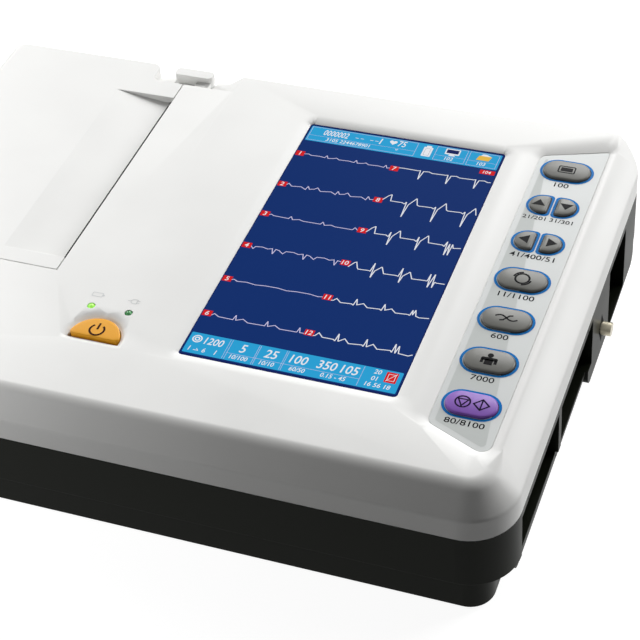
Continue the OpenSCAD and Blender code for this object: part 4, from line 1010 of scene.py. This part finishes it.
@dataclass
class Display(SubAssembly):
    """Lit picture under the window: two bars, six pairs of traces and their tags."""

    looks: ClassVar[Looks] = {Finish.RIM: "display_window", Finish.SHIELD: "lcd_module"}
    # layers of the picture from below, with their colour
    layers: ClassVar[dict[str, tuple[int, Finish]]] = {
        "night": (1, Finish.NIGHT), "sky": (2, Finish.SKY), "white": (4, Finish.WHITE),
        "lilac": (3, Finish.LILAC), "red": (4, Finish.RED), "navy": (5, Finish.RIM),
        "yellow": (5, Finish.YELLOW), "top": (6, Finish.WHITE)}
    # numerals of the bars: digits, middle, height and share of the normal width
    numerals: ClassVar[tuple[tuple[str, float, float, float, float], ...]] = (
        ("0000002", 13.6, 149.9, 3.9, 0.62), ("1", 34.4, 149.9, 3.9, 0.9),
        ("75", 44.2, 150.3, 3.9, 0.72), ("3105 2244678901", 20.4, 145.3, 2.2, 0.95),
        ("102", 66.9, 145.4, 2.2, 0.95), ("103", 81.5, 145.4, 2.2, 0.95),
        ("104", 85.6, 140.4, 1.9, 1.0), ("1200", 11.8, 9.6, 3.9, 0.8), ("1", 3.2, 4.2, 2.5, 0.9),
        ("6", 9.4, 4.2, 2.5, 0.9), ("1", 14.3, 4.2, 2.5, 0.9), ("5", 24.3, 9.2, 4.6, 0.85),
        ("25", 36.1, 9.2, 4.6, 0.85), ("100", 47.6, 9.2, 4.6, 0.85),
        ("350", 59.2, 9.2, 4.6, 0.85), ("105", 68.5, 9.2, 4.6, 0.85),
        ("10/100", 24.2, 3.9, 2.3, 0.9), ("10/10", 36.0, 3.9, 2.3, 0.9),
        ("60/50", 48.5, 3.9, 2.3, 0.9), ("0.15 - 45", 63.2, 3.9, 2.3, 0.9),
        ("20", 79.2, 11.2, 2.4, 0.9), ("01", 78.8, 7.5, 2.4, 0.9),
        ("16 56 18", 81.2, 4.1, 2.3, 0.95))
    border: float = 1.0
    low_bar: Point = (1.6, 13.2)
    high_bar: Point = (142.8, 153.4)
    rows: tuple[float, ...] = (133.0, 110.7, 89.8, 68.4, 46.5, 24.9)
    tag: Point = (4.0, 3.3)
    tag_middles: Point = (2.45, 46.0)    # middles of the two columns of tags
    line: Point = (0.36, 0.42)           # width of a trace in the first and second column
    lift: float = 0.02                   # one layer of picture above the next
    slant: float = 0.12
    ink: dict[str, Print] = field(default_factory=dict)

    def pieces(self) -> list[bpy.types.Object]:
        """Draws the picture layer by layer.

        Returns:
            One piece for each layer.
        """
        low, high = box_mm("display_window")
        wide, deep, b = high.x - low.x, high.y - low.y, self.border
        self.ink = {name: Print(high.z + self.lift * n, low.x, low.y, self.slant)
                    for name, (n, _) in self.layers.items()}
        self.ink["night"].fill(round_rect(b * 0.35, b, wide - b * 0.35, deep - b, 0.6))
        for y0, y1 in (self.low_bar, self.high_bar):
            self.ink["sky"].fill(round_rect(b, y0, wide - b, y1, 0.5))
        for numerals in self.numerals:
            self.ink["top"].digits(*numerals)
        self.upper_bar()
        self.lower_bar()
        self.traces(wide)
        return [self.ink[name].build(f"display_{name}", finish, "case")
                for name, (_, finish) in self.layers.items()]

    def upper_bar(self) -> None:
        """Draws the cells of the upper bar: record, pulse, battery, screen and folder."""
        white, lilac, navy = (self.ink[name] for name in ("white", "lilac", "navy"))
        y0, y1, mid = self.high_bar[0] + 0.8, self.high_bar[1] - 0.5, self.high_bar[0] + 4.1
        for a, b in ((1.6, 51.0), (60.0, 73.8), (75.0, 88.0)):
            lilac.stroke([(a, y0), (b, y0), (b, y1), (a, y1)], 0.16, True)
            lilac.stroke([(a, mid), (b, mid)], 0.12)
        for x in (22.6, 25.0, 29.4, 31.8):
            white.stroke([(x, 149.6), (x + 1.5, 149.6)], 0.3)
        turns = [-2 * math.pi * k / 28 for k in range(28)]
        white.fill([(40.0 + 1.736 * math.sin(t) ** 3, 150.6 + 0.1085 * (
            13 * math.cos(t) - 5 * math.cos(2 * t) - 2 * math.cos(3 * t) - math.cos(4 * t)))
            for t in turns])
        white.stroke([(42.2, 146.4), (42.8, 145.6), (43.4, 146.4)], 0.3)
        white.fill(round_rect(54.2, 144.6, 58.3, 151.2, 0.5),
                   round_rect(55.1, 151.2, 57.4, 152.2, 0.3),
                   round_rect(64.0, 148.4, 70.6, 152.5, 0.5),
                   [(65.9, 147.5), (69.0, 147.5), (68.4, 148.5), (66.5, 148.5)],
                   [(79.3, 150.2), (84.6, 150.2), (84.6, 151.2), (82.2, 152.3), (80.6, 152.3)])
        navy.stroke([(55.1, 145.5), (57.4, 145.5), (57.4, 150.3), (55.1, 150.3)], 0.1, True)
        navy.fill(round_rect(64.6, 149.3, 70.0, 151.9, 0.2))
        self.ink["yellow"].fill([(78.4, 147.9), (84.0, 147.9), (84.9, 151.0), (79.2, 151.0)])
        self.ink["red"].fill(round_rect(82.3, 139.0, 89.0, 141.8, 0.1))

    def lower_bar(self) -> None:
        """Draws the cells of the lower bar: lead, speed, gain, filters and clock."""
        white, lilac, top = (self.ink[name] for name in ("white", "lilac", "top"))
        for x in (17.7, 18.6, 29.9, 30.6, 41.5, 42.2, 73.3):
            lilac.stroke([(x, self.low_bar[0] + 0.4), (x, self.low_bar[1] - 0.4)], 0.14)
        lilac.stroke([(18.6, 5.6), (73.2, 5.6)], 0.14)
        for outer, inner, steps in ((2.1, 1.55, 24), (1.15, 0.6, 18)):
            white.ring(circle(4.4, 9.8, outer, steps), circle(4.4, 9.8, inner, steps))
        white.stroke([(5.0, 3.6), (7.0, 3.6), (6.2, 4.6)], 0.3)
        self.ink["red"].fill(round_rect(82.6, 6.6, 87.4, 12.3, 0.3))
        top.stroke([(83.6, 7.7), (86.5, 7.7), (86.5, 11.2), (83.6, 11.2)], 0.22, True)
        top.stroke([(83.2, 7.2), (86.9, 11.8)], 0.24)

    def traces(self, wide: float) -> None:
        """Draws six rows of two traces with a red numbered tag at the start of each.

        Args:
            wide: Width of the window.
        """
        tw, th = self.tag
        for row, base in enumerate(self.rows):
            for right, middle in enumerate(self.tag_middles):
                self.ink["red"].fill(round_rect(middle - tw / 2, base - th / 2,
                                                middle + tw / 2, base + th / 2, 0.1))
                self.ink["top"].digits(str(row + 1 + len(self.rows) * right), middle, base, 2.5)
                stop = wide - 1.0 if right else self.tag_middles[1] - tw / 2
                line = WAVES[right][row].beats(middle + tw / 2 - 0.2, stop)
                for piece in self.split_at_turns(line):
                    self.ink["white" if right else "lilac"].stroke(piece, self.line[right])

    def split_at_turns(self, line: Outline) -> list[Outline]:
        """Cuts a line where it turns back sharply, so that each piece keeps its width.

        Args:
            line: Points of the line.

        Returns:
            The pieces, each with the points at both of its ends.
        """
        pieces = [[line[0]]]
        for before, here, after in zip(line, line[1:], line[2:]):
            pieces[-1].append(here)
            a, b = Vector(here) - Vector(before), Vector(after) - Vector(here)
            if a.dot(b) < -0.3 * a.length * b.length:
                pieces.append([here])
        pieces[-1].append(line[-1])
        return pieces


@dataclass
class KeyColumn(SubAssembly):
    """Printed label with nine keys, their blue rings, icons and numerals."""

    looks: ClassVar[Looks] = {Finish.FILM: "key_label", Finish.BOARD: "keypad_board"}
    captions: ClassVar[dict[str, str]] = {
        "key_menu": "100", "key_up": "21/201", "key_down": "31/301", "key_left": "",
        "key_right": "41/400/51", "key_mode": "11/1100", "key_filter": "600",
        "key_patient": "7000", "key_run": "80/8100"}
    flange: float = 0.8      # a key's box to its cap
    rounding: float = 0.8    # radius of a cap's top edge
    crown: float = 0.12      # rise of a cap's middle
    sunk: float = 0.5        # the cap's top below the CAD key's
    corner: float = 1.3      # radius of the corners where a pair of keys is split
    ring: Point = (0.32, 1.42)   # the blue ring's edges from the cap
    seal: Point = (0.04, 0.5)    # edges from the cap of the black ring that is painted shade in the slot round it
    caption: float = 2.9     # height of the captions
    border: float = 2.4      # the label's edge to its printed panel

    def pieces(self) -> list[bpy.types.Object]:
        """Makes the caps and prints.

        Returns:
            The new pieces.
        """
        top = box_mm("key_label")[1].z
        rings, panel, words, cap_gap_shades = (Print(top + lift) for lift in (0.06, 0.02, 0.05, -0.2))
        made = []
        for node, text in self.captions.items():
            made.append(self.cap(node))
            # A black ring in the slot between each cap and its blue ring is painted shade, in place
            # of the slot's shadow.
            for ink, (near, far) in ((rings, self.ring), (cap_gap_shades, self.seal)):
                ink.ring(self.outline(node, far), self.outline(node, near))
            if text:
                low, high = box_mm(node)
                x = low.x - 1.0 if "_right" in node else (low.x + high.x) / 2
                size = self.caption * (0.8 if node in ("key_up", "key_down") else 1.0)
                y = low.y + self.flange - self.ring[1] - size / 2 - 0.6
                words.digits(text, x, y, size, 1.2)
        panel.fill(self.panel_edge())
        made += [rings.build("key_rings", Finish.RING_INK, "case"),
                 words.build("key_captions", Finish.CAPTION_INK, "case"),
                 cap_gap_shades.build("key_cap_gap_shades", Finish.RUBBER, "case"),
                 panel.build("label_panel", Finish.PANEL_INK, "case")]
        return made + [self.icon(node) for node in self.captions]

    def panel_edge(self) -> Outline:
        """Sets the printed panel's edge in from the label's own.

        Returns:
            The inner outline. Points of the round corners that the inset turns over are left out.
        """
        corners = [v.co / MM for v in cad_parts["key_label"].data.vertices]
        top = max(p.z for p in corners)
        edge = hull((p.x, p.y) for p in corners if p.z > top - 0.01)
        sides = [(Vector(a), (Vector(b) - Vector(a)).normalized())
                 for a, b in zip(edge, edge[1:] + edge[:1])]
        return hull(p for p in inset(edge, self.border)
                    if all(way.cross(Vector(p) - at) > self.border - 0.05 for at, way in sides))

    def outline(self, node: str, grow: float) -> Outline:
        """Outline of a key, whole or half of a pair, grown by a distance.

        Args:
            node: CAD node of the key.
            grow: Distance outwards.

        Returns:
            The outline, anticlockwise, with the same number of points for any growth.
        """
        low, high = box_mm(node)
        x0, x1, y = low.x + self.flange, high.x - self.flange, (low.y + high.y) / 2
        r = y - low.y - self.flange
        if node not in ("key_left", "key_right", "key_up", "key_down"):
            return (arc(x1 - r, y, r + grow, -90, 90, 16)
                    + arc(x0 + r, y, r + grow, 90, 270, 16))
        corner = self.corner + max(grow, 0) * 0.5
        x, reach = x1 + grow - corner, r + grow - corner
        left = (arc(x0 + r, y, r + grow, 90, 270, 20)
                + arc(x, y - reach, corner, -90, 0, 6) + arc(x, y + reach, corner, 0, 90, 6))
        if node in ("key_left", "key_up"):
            return left
        return [(x0 + x1 - px, 2 * y - py) for px, py in left]

    def cap(self, node: str) -> bpy.types.Object:
        """Makes a domed cap with its flange in place of the CAD key.

        Args:
            node: CAD node that it stands for.

        Returns:
            The cap.
        """
        low, high = box_mm(node)
        top, violet = high.z - self.sunk, node == "key_run"
        steps = button_steps(low.z, top, self.flange, self.rounding)
        steps.append((-self.rounding - 0.4, top + self.crown))
        piece = mesh_piece(node + "_cap", stacked(lambda grow: self.outline(node, grow), steps),
                           Finish.VIOLET_KEY if violet else Finish.GREY_KEY,
                           node.replace("key_", "press_"), 50)
        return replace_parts(piece, node)

    def icon(self, node: str) -> bpy.types.Object:
        """Prints the pictogram on one cap, in places that count from its middle.

        Args:
            node: CAD node of the key.

        Returns:
            The ink.
        """
        low, high = box_mm(node)
        ink = Print(high.z - self.sunk + self.crown + 0.03, (low.x + high.x) / 2,
                    (low.y + high.y) / 2)
        if node == "key_menu":
            ink.stroke(round_rect(-3.5, -2.1, 3.5, 2.1, 0.6), 0.62, True)
            ink.fill(round_rect(-2.6, -1.3, 2.6, 1.3, 0.3))
        elif node in ("key_up", "key_down"):
            s = 1 if node == "key_up" else -1
            ink.fill([(-2.9, -s * 1.7), (2.9, -s * 1.7), (0, s * 2.2)])
        elif node in ("key_left", "key_right"):
            s = 1 if node == "key_right" else -1
            ink.fill([(-s * 1.9, -2.7), (-s * 1.9, 2.7), (s * 2.4, 0)])
        elif node == "key_mode":
            ink.ring(circle(0, 0, 3.3, 30), circle(0, 0, 2.45, 30))
            for turn in (95, 275):
                ink.stroke(arc(0, 0, 3.75, turn, turn + 75, 10), 0.75)
        elif node == "key_filter":
            ink.stroke([(0.46 * k, 0.2 - 1.25 * math.sin(0.29 * k)) for k in range(-10, 11)], 0.72)
            ink.stroke([(-2.4, -1.6), (-1.0, -1.2), (1.0, 1.5), (2.4, 1.9)], 0.72)
        elif node == "key_patient":
            ink.fill(circle(0, 2.35, 1.2, 18), round_rect(-3.3, -0.6, 3.3, 1.15, 0.8))
            for a, b, foot in ((-3.3, -2.1, -2.1), (-1.65, 1.65, -2.9), (2.1, 3.3, -2.1)):
                ink.fill([(a, foot), (b, foot), (b, 0.2), (a, 0.2)])
        else:
            ink.ring(circle(-3.4, 0, 3.2, 28), circle(-3.4, 0, 2.5, 28))
            ink.stroke([(-5.4, 1.3), (-1.4, 1.3), (-3.4, -2.2)], 0.62, True)
            ink.stroke([(3.9, -2.8), (6.9, 0), (3.9, 2.8), (0.9, 0)], 0.68, True)
            ink.stroke([(3.9, -2.6), (3.9, 2.6)], 0.6)
        return ink.build(node + "_icon",
                         Finish.VIOLET_INK if node == "key_run" else Finish.DARK_INK,
                         node.replace("key_", "press_"))


@dataclass
class PowerPanel(SubAssembly):
    """Half-moon power button with its symbol, and the two status lamps behind it."""

    looks: ClassVar[Looks] = {Finish.BOARD: "power_board"}
    flange: float = 1.0
    rounding: float = 0.6
    crown: float = 0.08
    sunk: float = 0.45       # the button's top below the CAD button's
    front: float = 0.75      # the straight front edge behind the CAD button's
    corner: float = 1.7      # radius of the two front corners
    bar: float = 0.85        # width of the symbol's lines
    lamp: float = 1.6        # radius of a lamp
    mark_gap: float = 4.8    # lamps to the marks behind them
    mark_line: float = 0.3

    def pieces(self) -> list[bpy.types.Object]:
        """Makes the button, symbol and lamps.

        Returns:
            The new pieces.
        """
        low, high = box_mm("power_button")
        x, r = (low.x + high.x) / 2, (high.x - low.x) / 2 - self.flange
        front, top = low.y + self.flange + self.front, high.z - self.sunk
        y = high.y - self.flange - r
        steps = button_steps(low.z, top, self.flange, self.rounding, 0.7)
        steps += [(-self.rounding - 1.0, top + self.crown * 0.6),
                  (-self.rounding - 2.4, top + self.crown)]
        button = mesh_piece("power_cap", stacked(
            lambda grow: self.half_moon(x, y, front - grow, r + grow), steps),
            Finish.AMBER_KEY, "press_power", 50)
        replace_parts(button, "power_button")
        ink = Print(top + self.crown + 0.03, x, y + r * 0.36)
        ink.stroke(arc(0, 0, 3.0, 128, 412, 30), self.bar)
        ink.stroke([(0, 0.2), (0, 3.9)], self.bar)
        symbol = ink.build("power_symbol", Finish.BROWN_INK, "press_power")
        low, high = box_mm("status_lamps")
        reach = self.lamp + 0.4
        lamps = [self.dome("lamp_left", low.x + reach, Finish.LAMP_ON),
                 self.dome("lamp_right", high.x - reach, Finish.LAMP_OFF)]
        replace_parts(lamps[0], "status_lamps")
        return [button, symbol, *lamps, self.marks()]

    def half_moon(self, x: float, y: float, low: float, r: float) -> Outline:
        """Outline of the button: a circle cut straight along its front.

        Args:
            x: Middle of the circle.
            y: Middle of the circle.
            low: Straight front edge.
            r: Radius.

        Returns:
            The outline, anticlockwise.
        """
        corner = self.corner
        reach = math.sqrt((r - corner) ** 2 - (low + corner - y) ** 2)
        turn = math.degrees(math.atan2(low + corner - y, reach))
        return (arc(x + reach, low + corner, corner, -90, turn, 6)
                + arc(x, y, r, turn, 180 - turn, 30)
                + arc(x - reach, low + corner, corner, 180 - turn, 270, 6))

    def dome(self, name: str, x: float, finish: Finish) -> bpy.types.Object:
        """Makes one lamp: a flange, a wall and a dome.

        Args:
            name: Name of the piece.
            x: Middle of the lamp.
            finish: Lit or dark lens.

        Returns:
            The lamp.
        """
        low, high = box_mm("status_lamps")
        r, y = self.lamp, (low.y + high.y) / 2
        steps = [(0.4, low.z), (0.4, low.z + 1), (0.0, low.z + 1), (0.0, high.z - r)]
        for k in range(1, 7):
            a = math.pi / 2 * k / 6.5
            steps.append((r * (math.cos(a) - 1), high.z - r + r * math.sin(a)))
        return mesh_piece(name, stacked(lambda grow: circle(x, y, r + grow, 24), steps), finish,
                          "case", 60)

    def marks(self) -> bpy.types.Object:
        """Prints the mains and battery marks behind the lamps.

        Returns:
            The ink.
        """
        low, high = box_mm("status_lamps")
        ink = Print(box_mm("top_cover")[1].z + 0.05, low.x + 2, high.y + self.mark_gap)
        ink.stroke(round_rect(-2.4, -1.1, 2.0, 1.1, 0.3), self.mark_line, True)
        ink.fill([(2.2, -0.5), (2.8, -0.5), (2.8, 0.5), (2.2, 0.5)])
        ink.x = high.x - 2
        for line in (arc(-0.6, 0, 1.2, 90, 270, 10),
                     [(-0.6, 1.2), (0.8, 1.2), (0.8, -1.2), (-0.6, -1.2)], [(-1.8, 0), (-3.2, 0)],
                     [(0.8, 0.6), (2.0, 0.6)], [(0.8, -0.6), (2.0, -0.6)]):
            ink.stroke(line, self.mark_line)
        return ink.build("lamp_marks", Finish.MARK_INK, "case")


@dataclass
class Recorder(SubAssembly):
    """Paper door, release tab, drive and paper roll."""

    looks: ClassVar[Looks] = {
        Finish.SHELL: "paper_door release_latch",
        Finish.STEEL: "hinge_pins platen_shaft idler_post motor_shaft latch_pin",
        Finish.NYLON: "platen_bushes platen_gear idler_gear", Finish.PLATEN: "platen_roller",
        Finish.BRASS: "motor_pinion", Finish.CAN: "stepper_motor",
        Finish.SHEET_STEEL: "printer_frame", Finish.CERAMIC: "thermal_head",
        Finish.ALUMINIUM: "head_heatsink", Finish.NICKEL: "tear_bar",
        Finish.INSIDE: "paper_well roll_spindle", Finish.PAPER: "paper_roll",
        Finish.CARD: "roll_core"}
    wire: float = 0.35       # radius of the springs' wire
    slot: float = 3.0        # the door's lip to the slot's other edge
    lip_top: float = 3.4     # the lip below the top
    lip: float = 2.6
    tooth: float = 1.5       # pitch of the tear edge's teeth
    bite: float = 0.35       # their depth

    def pieces(self) -> list[bpy.types.Object]:
        """Cuts the tear edge, whose black is painted slot shade, and winds the springs.

        Returns:
            The new pieces.
        """
        low, high = box_mm("head_springs")
        r = (high.z - low.z) / 2
        head = joined(*(self.coil("head_springs", y, 5) for y in (low.y + r, high.y - r)))
        low, high = box_mm("latch_spring")
        latch = self.coil("latch_spring", (low.y + high.y) / 2, 3)
        return [self.tear_edge(),
                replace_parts(mesh_piece("head_coils", head, Finish.STEEL, "case", 60),
                            "head_springs"),
                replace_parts(mesh_piece("latch_coil", latch, Finish.STEEL, "case", 60),
                            "latch_spring")]

    def tear_edge(self) -> bpy.types.Object:
        """Cuts the toothed strip that closes the lip of the door's chute. Its black is painted
        shade, so that the paper slot reads as a dark line.

        Returns:
            The strip.
        """
        low, high = box_mm("tear_bar")
        x = low.x + 0.2 - self.slot
        y0, y1, top = low.y + 2, high.y + 2.5, box_mm("paper_door")[1].z - self.lip_top
        n = int((y1 - y0) / self.tooth) * 2
        edge = [(y0, top - self.lip + 0.2), (y1, top - self.lip + 0.2)]
        edge += [(y1 - (y1 - y0) * k / n, top - (0.0 if k % 2 else self.bite))
                 for k in range(n + 1)]
        # The strip is black: painted shade that darkens the paper slot.
        strip = loft([[(x + side, y, z) for y, z in edge] for side in (-0.02, 0.3)])
        return mesh_piece("tear_edge", strip, Finish.BLACKENED, "door", 20)

    def coil(self, node: str, y: float, turns: int) -> Shape:
        """Winds a coil spring along X through the box of a CAD node.

        Args:
            node: CAD node.
            y: Axis along Y.
            turns: Number of turns.

        Returns:
            Points and faces.
        """
        low, high = box_mm(node)
        n, w, sides = turns * 16, self.wire, 8
        r, z, length = (high.z - low.z) / 2 - w, (low.z + high.z) / 2, high.x - low.x - 2 * w
        path = [Vector((low.x + w + length * k / n, y + r * math.cos(2 * math.pi * turns * k / n),
                        z + r * math.sin(2 * math.pi * turns * k / n))) for k in range(n + 1)]
        rings, up = [], Vector((0.0, 0.0, 1.0))
        for i, p in enumerate(path):
            ahead = (path[min(i + 1, n)] - path[max(i - 1, 0)]).normalized()
            side = ahead.cross(up).normalized()
            up = side.cross(ahead).normalized()
            rings.append([p + (side * math.cos(a) + up * math.sin(a)) * w
                          for a in (2 * math.pi * k / sides for k in range(sides))])
        return loft(rings)


@dataclass
class Electronics(SubAssembly):
    """Boards, power supply, loudspeaker and ribbons inside the case."""

    looks: ClassVar[Looks] = {
        Finish.BOARD: "main_board power_supply io_board", Finish.STEEL: "board_screws",
        Finish.CONE: "speaker", Finish.RIBBON: "ribbon_cables"}


@dataclass
class Connectors(SubAssembly):
    """Connectors in the recesses of the right side, and the earth stud."""

    looks: ClassVar[Looks] = {
        Finish.NICKEL: "patient_port serial_port usb_port",
        Finish.SOCKET: "signal_port mains_inlet fuse_drawer", Finish.PLATED_BRASS: "earth_stud"}
    numbered: ClassVar[tuple[str, ...]] = (
        "patient_port", "signal_port", "serial_port", "usb_port", "mains_inlet")
    strip: float = 21.8      # the top to the middle of the strip above the recesses
    number: float = 1.9      # height of a number
    rhombus: Point = (4.2, 8.0)      # half the width and height of the mark round the stud

    def pieces(self) -> list[bpy.types.Object]:
        """Numbers the sockets and marks the earth stud on the right wall.

        Returns:
            The ink.
        """
        wall = box_mm("bottom_case")[1].x + 0.03
        level = box_mm("top_cover")[1].z - self.strip
        ink = Print(0.0)
        for number, node in enumerate(self.numbered, 1):
            low, high = box_mm(node)
            ink.digits(str(number), (low.y + high.y) / 2, level, self.number, 1.1)
        low, high = box_mm("earth_stud")
        ink.x, ink.y, (a, b) = (low.y + high.y) / 2, (low.z + high.z) / 2, self.rhombus
        ink.fill([(0, -b), (a, 0), (0, b), (-a, 0)])
        ink.verts = [(wall, across, up) for across, up, _ in ink.verts]
        return [ink.build("port_marks", Finish.PORT_INK, "case")]


# --------------------------------------------------------------------- studio


@dataclass(frozen=True)
class Lamp:
    """One soft square lamp that faces the object."""

    name: str
    at: tuple[float, float, float]
    size: float
    power: float             # in watts
    aim: tuple[float, float, float] = (0, 0, 30)

    def hang(self) -> None:
        """Adds the lamp to the scene."""
        light = bpy.data.lights.new(self.name, "AREA")
        light.shape, light.size, light.energy = "SQUARE", self.size * MM, self.power
        obj = bpy.data.objects.new(self.name, light)
        at = Vector(self.at)
        obj.location = at * MM
        obj.rotation_euler = (Vector(self.aim) - at).to_track_quat("-Z", "Y").to_euler()
        bpy.context.scene.collection.objects.link(obj)


@dataclass
class Studio:
    """Pale floor, five soft lamps, a faint even world and the camera."""

    lens: float = 102.66
    place: tuple[float, float, float] = (264.95, -523.9, 549.0)
    right: tuple[float, float, float] = (0.93908, 0.33666, -0.06918)
    up: tuple[float, float, float] = (-0.18035, 0.65402, 0.73467)
    forward: tuple[float, float, float] = (-0.29258, 0.67744, -0.67489)
    lamps: tuple[Lamp, ...] = (
        Lamp("overhead", (380, 640, 980), 900, 2.4), Lamp("behind", (0, 1300, 800), 800, 17.0),
        Lamp("left_behind", (-1000, 800, 700), 700, 9.5),
        Lamp("right_behind", (1300, 1200, 640), 700, 20.0),
        Lamp("left", (-245, -210, 145), 120, 0.36))
    floor_half: float = 6000.0   # half the floor's side
    floor_grey: float = 0.36
    floor_glow: float = 0.92
    world_glow: float = 0.012    # what the world lends to the light

    def build(self) -> None:
        """Sets the floor, lights, world and camera, and the view transform."""
        bpy.context.scene.view_settings.view_transform = "Standard"
        self.floor()
        self.world()
        for lamp in self.lamps:
            lamp.hang()
        self.camera()

    def seen(self, tree: bpy.types.NodeTree) -> bpy.types.Node:
        """Adds what is 1 for rays from the camera, mirrors and glass, and 0 for light.

        Args:
            tree: Node tree that takes the nodes.

        Returns:
            The last node.
        """
        path = add(tree, "ShaderNodeLightPath").outputs
        one = add(tree, "ShaderNodeMath", {"operation": "MAXIMUM"}, {
            0: path["Is Camera Ray"], 1: path["Is Glossy Ray"]})
        return add(tree, "ShaderNodeMath", {"operation": "MAXIMUM"}, {
            0: one, 1: path["Is Transmission Ray"]})

    def floor(self) -> None:
        """Lays a plain pale floor that keeps the shadow."""
        material, tree = blank("Painted board, white, matt")
        lift = add(tree, "ShaderNodeMath", {"operation": "MULTIPLY"}, {
            0: self.seen(tree), 1: self.floor_glow})
        shader = add(tree, "ShaderNodeBsdfPrincipled", inputs={
            "Base Color": (*[self.floor_grey] * 3, 1.0), "Roughness": 0.9,
            "Specular IOR Level": 0.0, "Emission Color": (1.0, 1.0, 1.0, 1.0),
            "Emission Strength": lift})
        add(tree, "ShaderNodeOutputMaterial", inputs={"Surface": shader})
        mesh = bpy.data.meshes.new("floor")
        s = self.floor_half * MM
        mesh.from_pydata([(-s, -s, 0), (s, -s, 0), (s, s, 0), (-s, s, 0)], [], [(0, 1, 2, 3)])
        mesh.materials.append(material)
        obj = bpy.data.objects.new("floor", mesh)
        bpy.context.scene.collection.objects.link(obj)

    def world(self) -> None:
        """Makes an even world that the camera and mirrors see as white."""
        world = bpy.data.worlds.new("studio")
        bpy.context.scene.world = world
        world.use_nodes = True
        tree = world.node_tree
        tree.nodes.clear()
        level = add(tree, "ShaderNodeMapRange", inputs={
            "Value": self.seen(tree), "To Min": self.world_glow, "To Max": 1.0})
        back = add(tree, "ShaderNodeBackground", inputs={
            "Color": (1.0, 1.0, 1.0, 1.0), "Strength": level})
        add(tree, "ShaderNodeOutputWorld", inputs={"Surface": back})

    def camera(self) -> None:
        """Sets the camera that shows the object from the front right and above."""
        data = bpy.data.cameras.new("camera")
        data.lens, data.sensor_width = self.lens, 36.0
        data.clip_start, data.clip_end = 0.05, 30.0
        obj = bpy.data.objects.new("camera", data)
        turn = Matrix((self.right, self.up, [-v for v in self.forward])).transposed()
        obj.matrix_world = Matrix.Translation(Vector(self.place) * MM) @ turn.to_4x4()
        bpy.context.scene.collection.objects.link(obj)
        bpy.context.scene.camera = obj


def main() -> None:
    """Builds every sub-assembly in order and reports its pieces."""
    logging.basicConfig(level=logging.INFO, format="%(name)s: %(message)s")
    for part in (Case(), Display(), KeyColumn(), PowerPanel(), Recorder(), Electronics(),
                 Connectors()):
        for piece in part.build():
            log.info("%s: %s, %d faces", type(part).__name__, piece.name, len(piece.data.polygons))
    Studio().build()


if __name__ == "__main__":
    main()
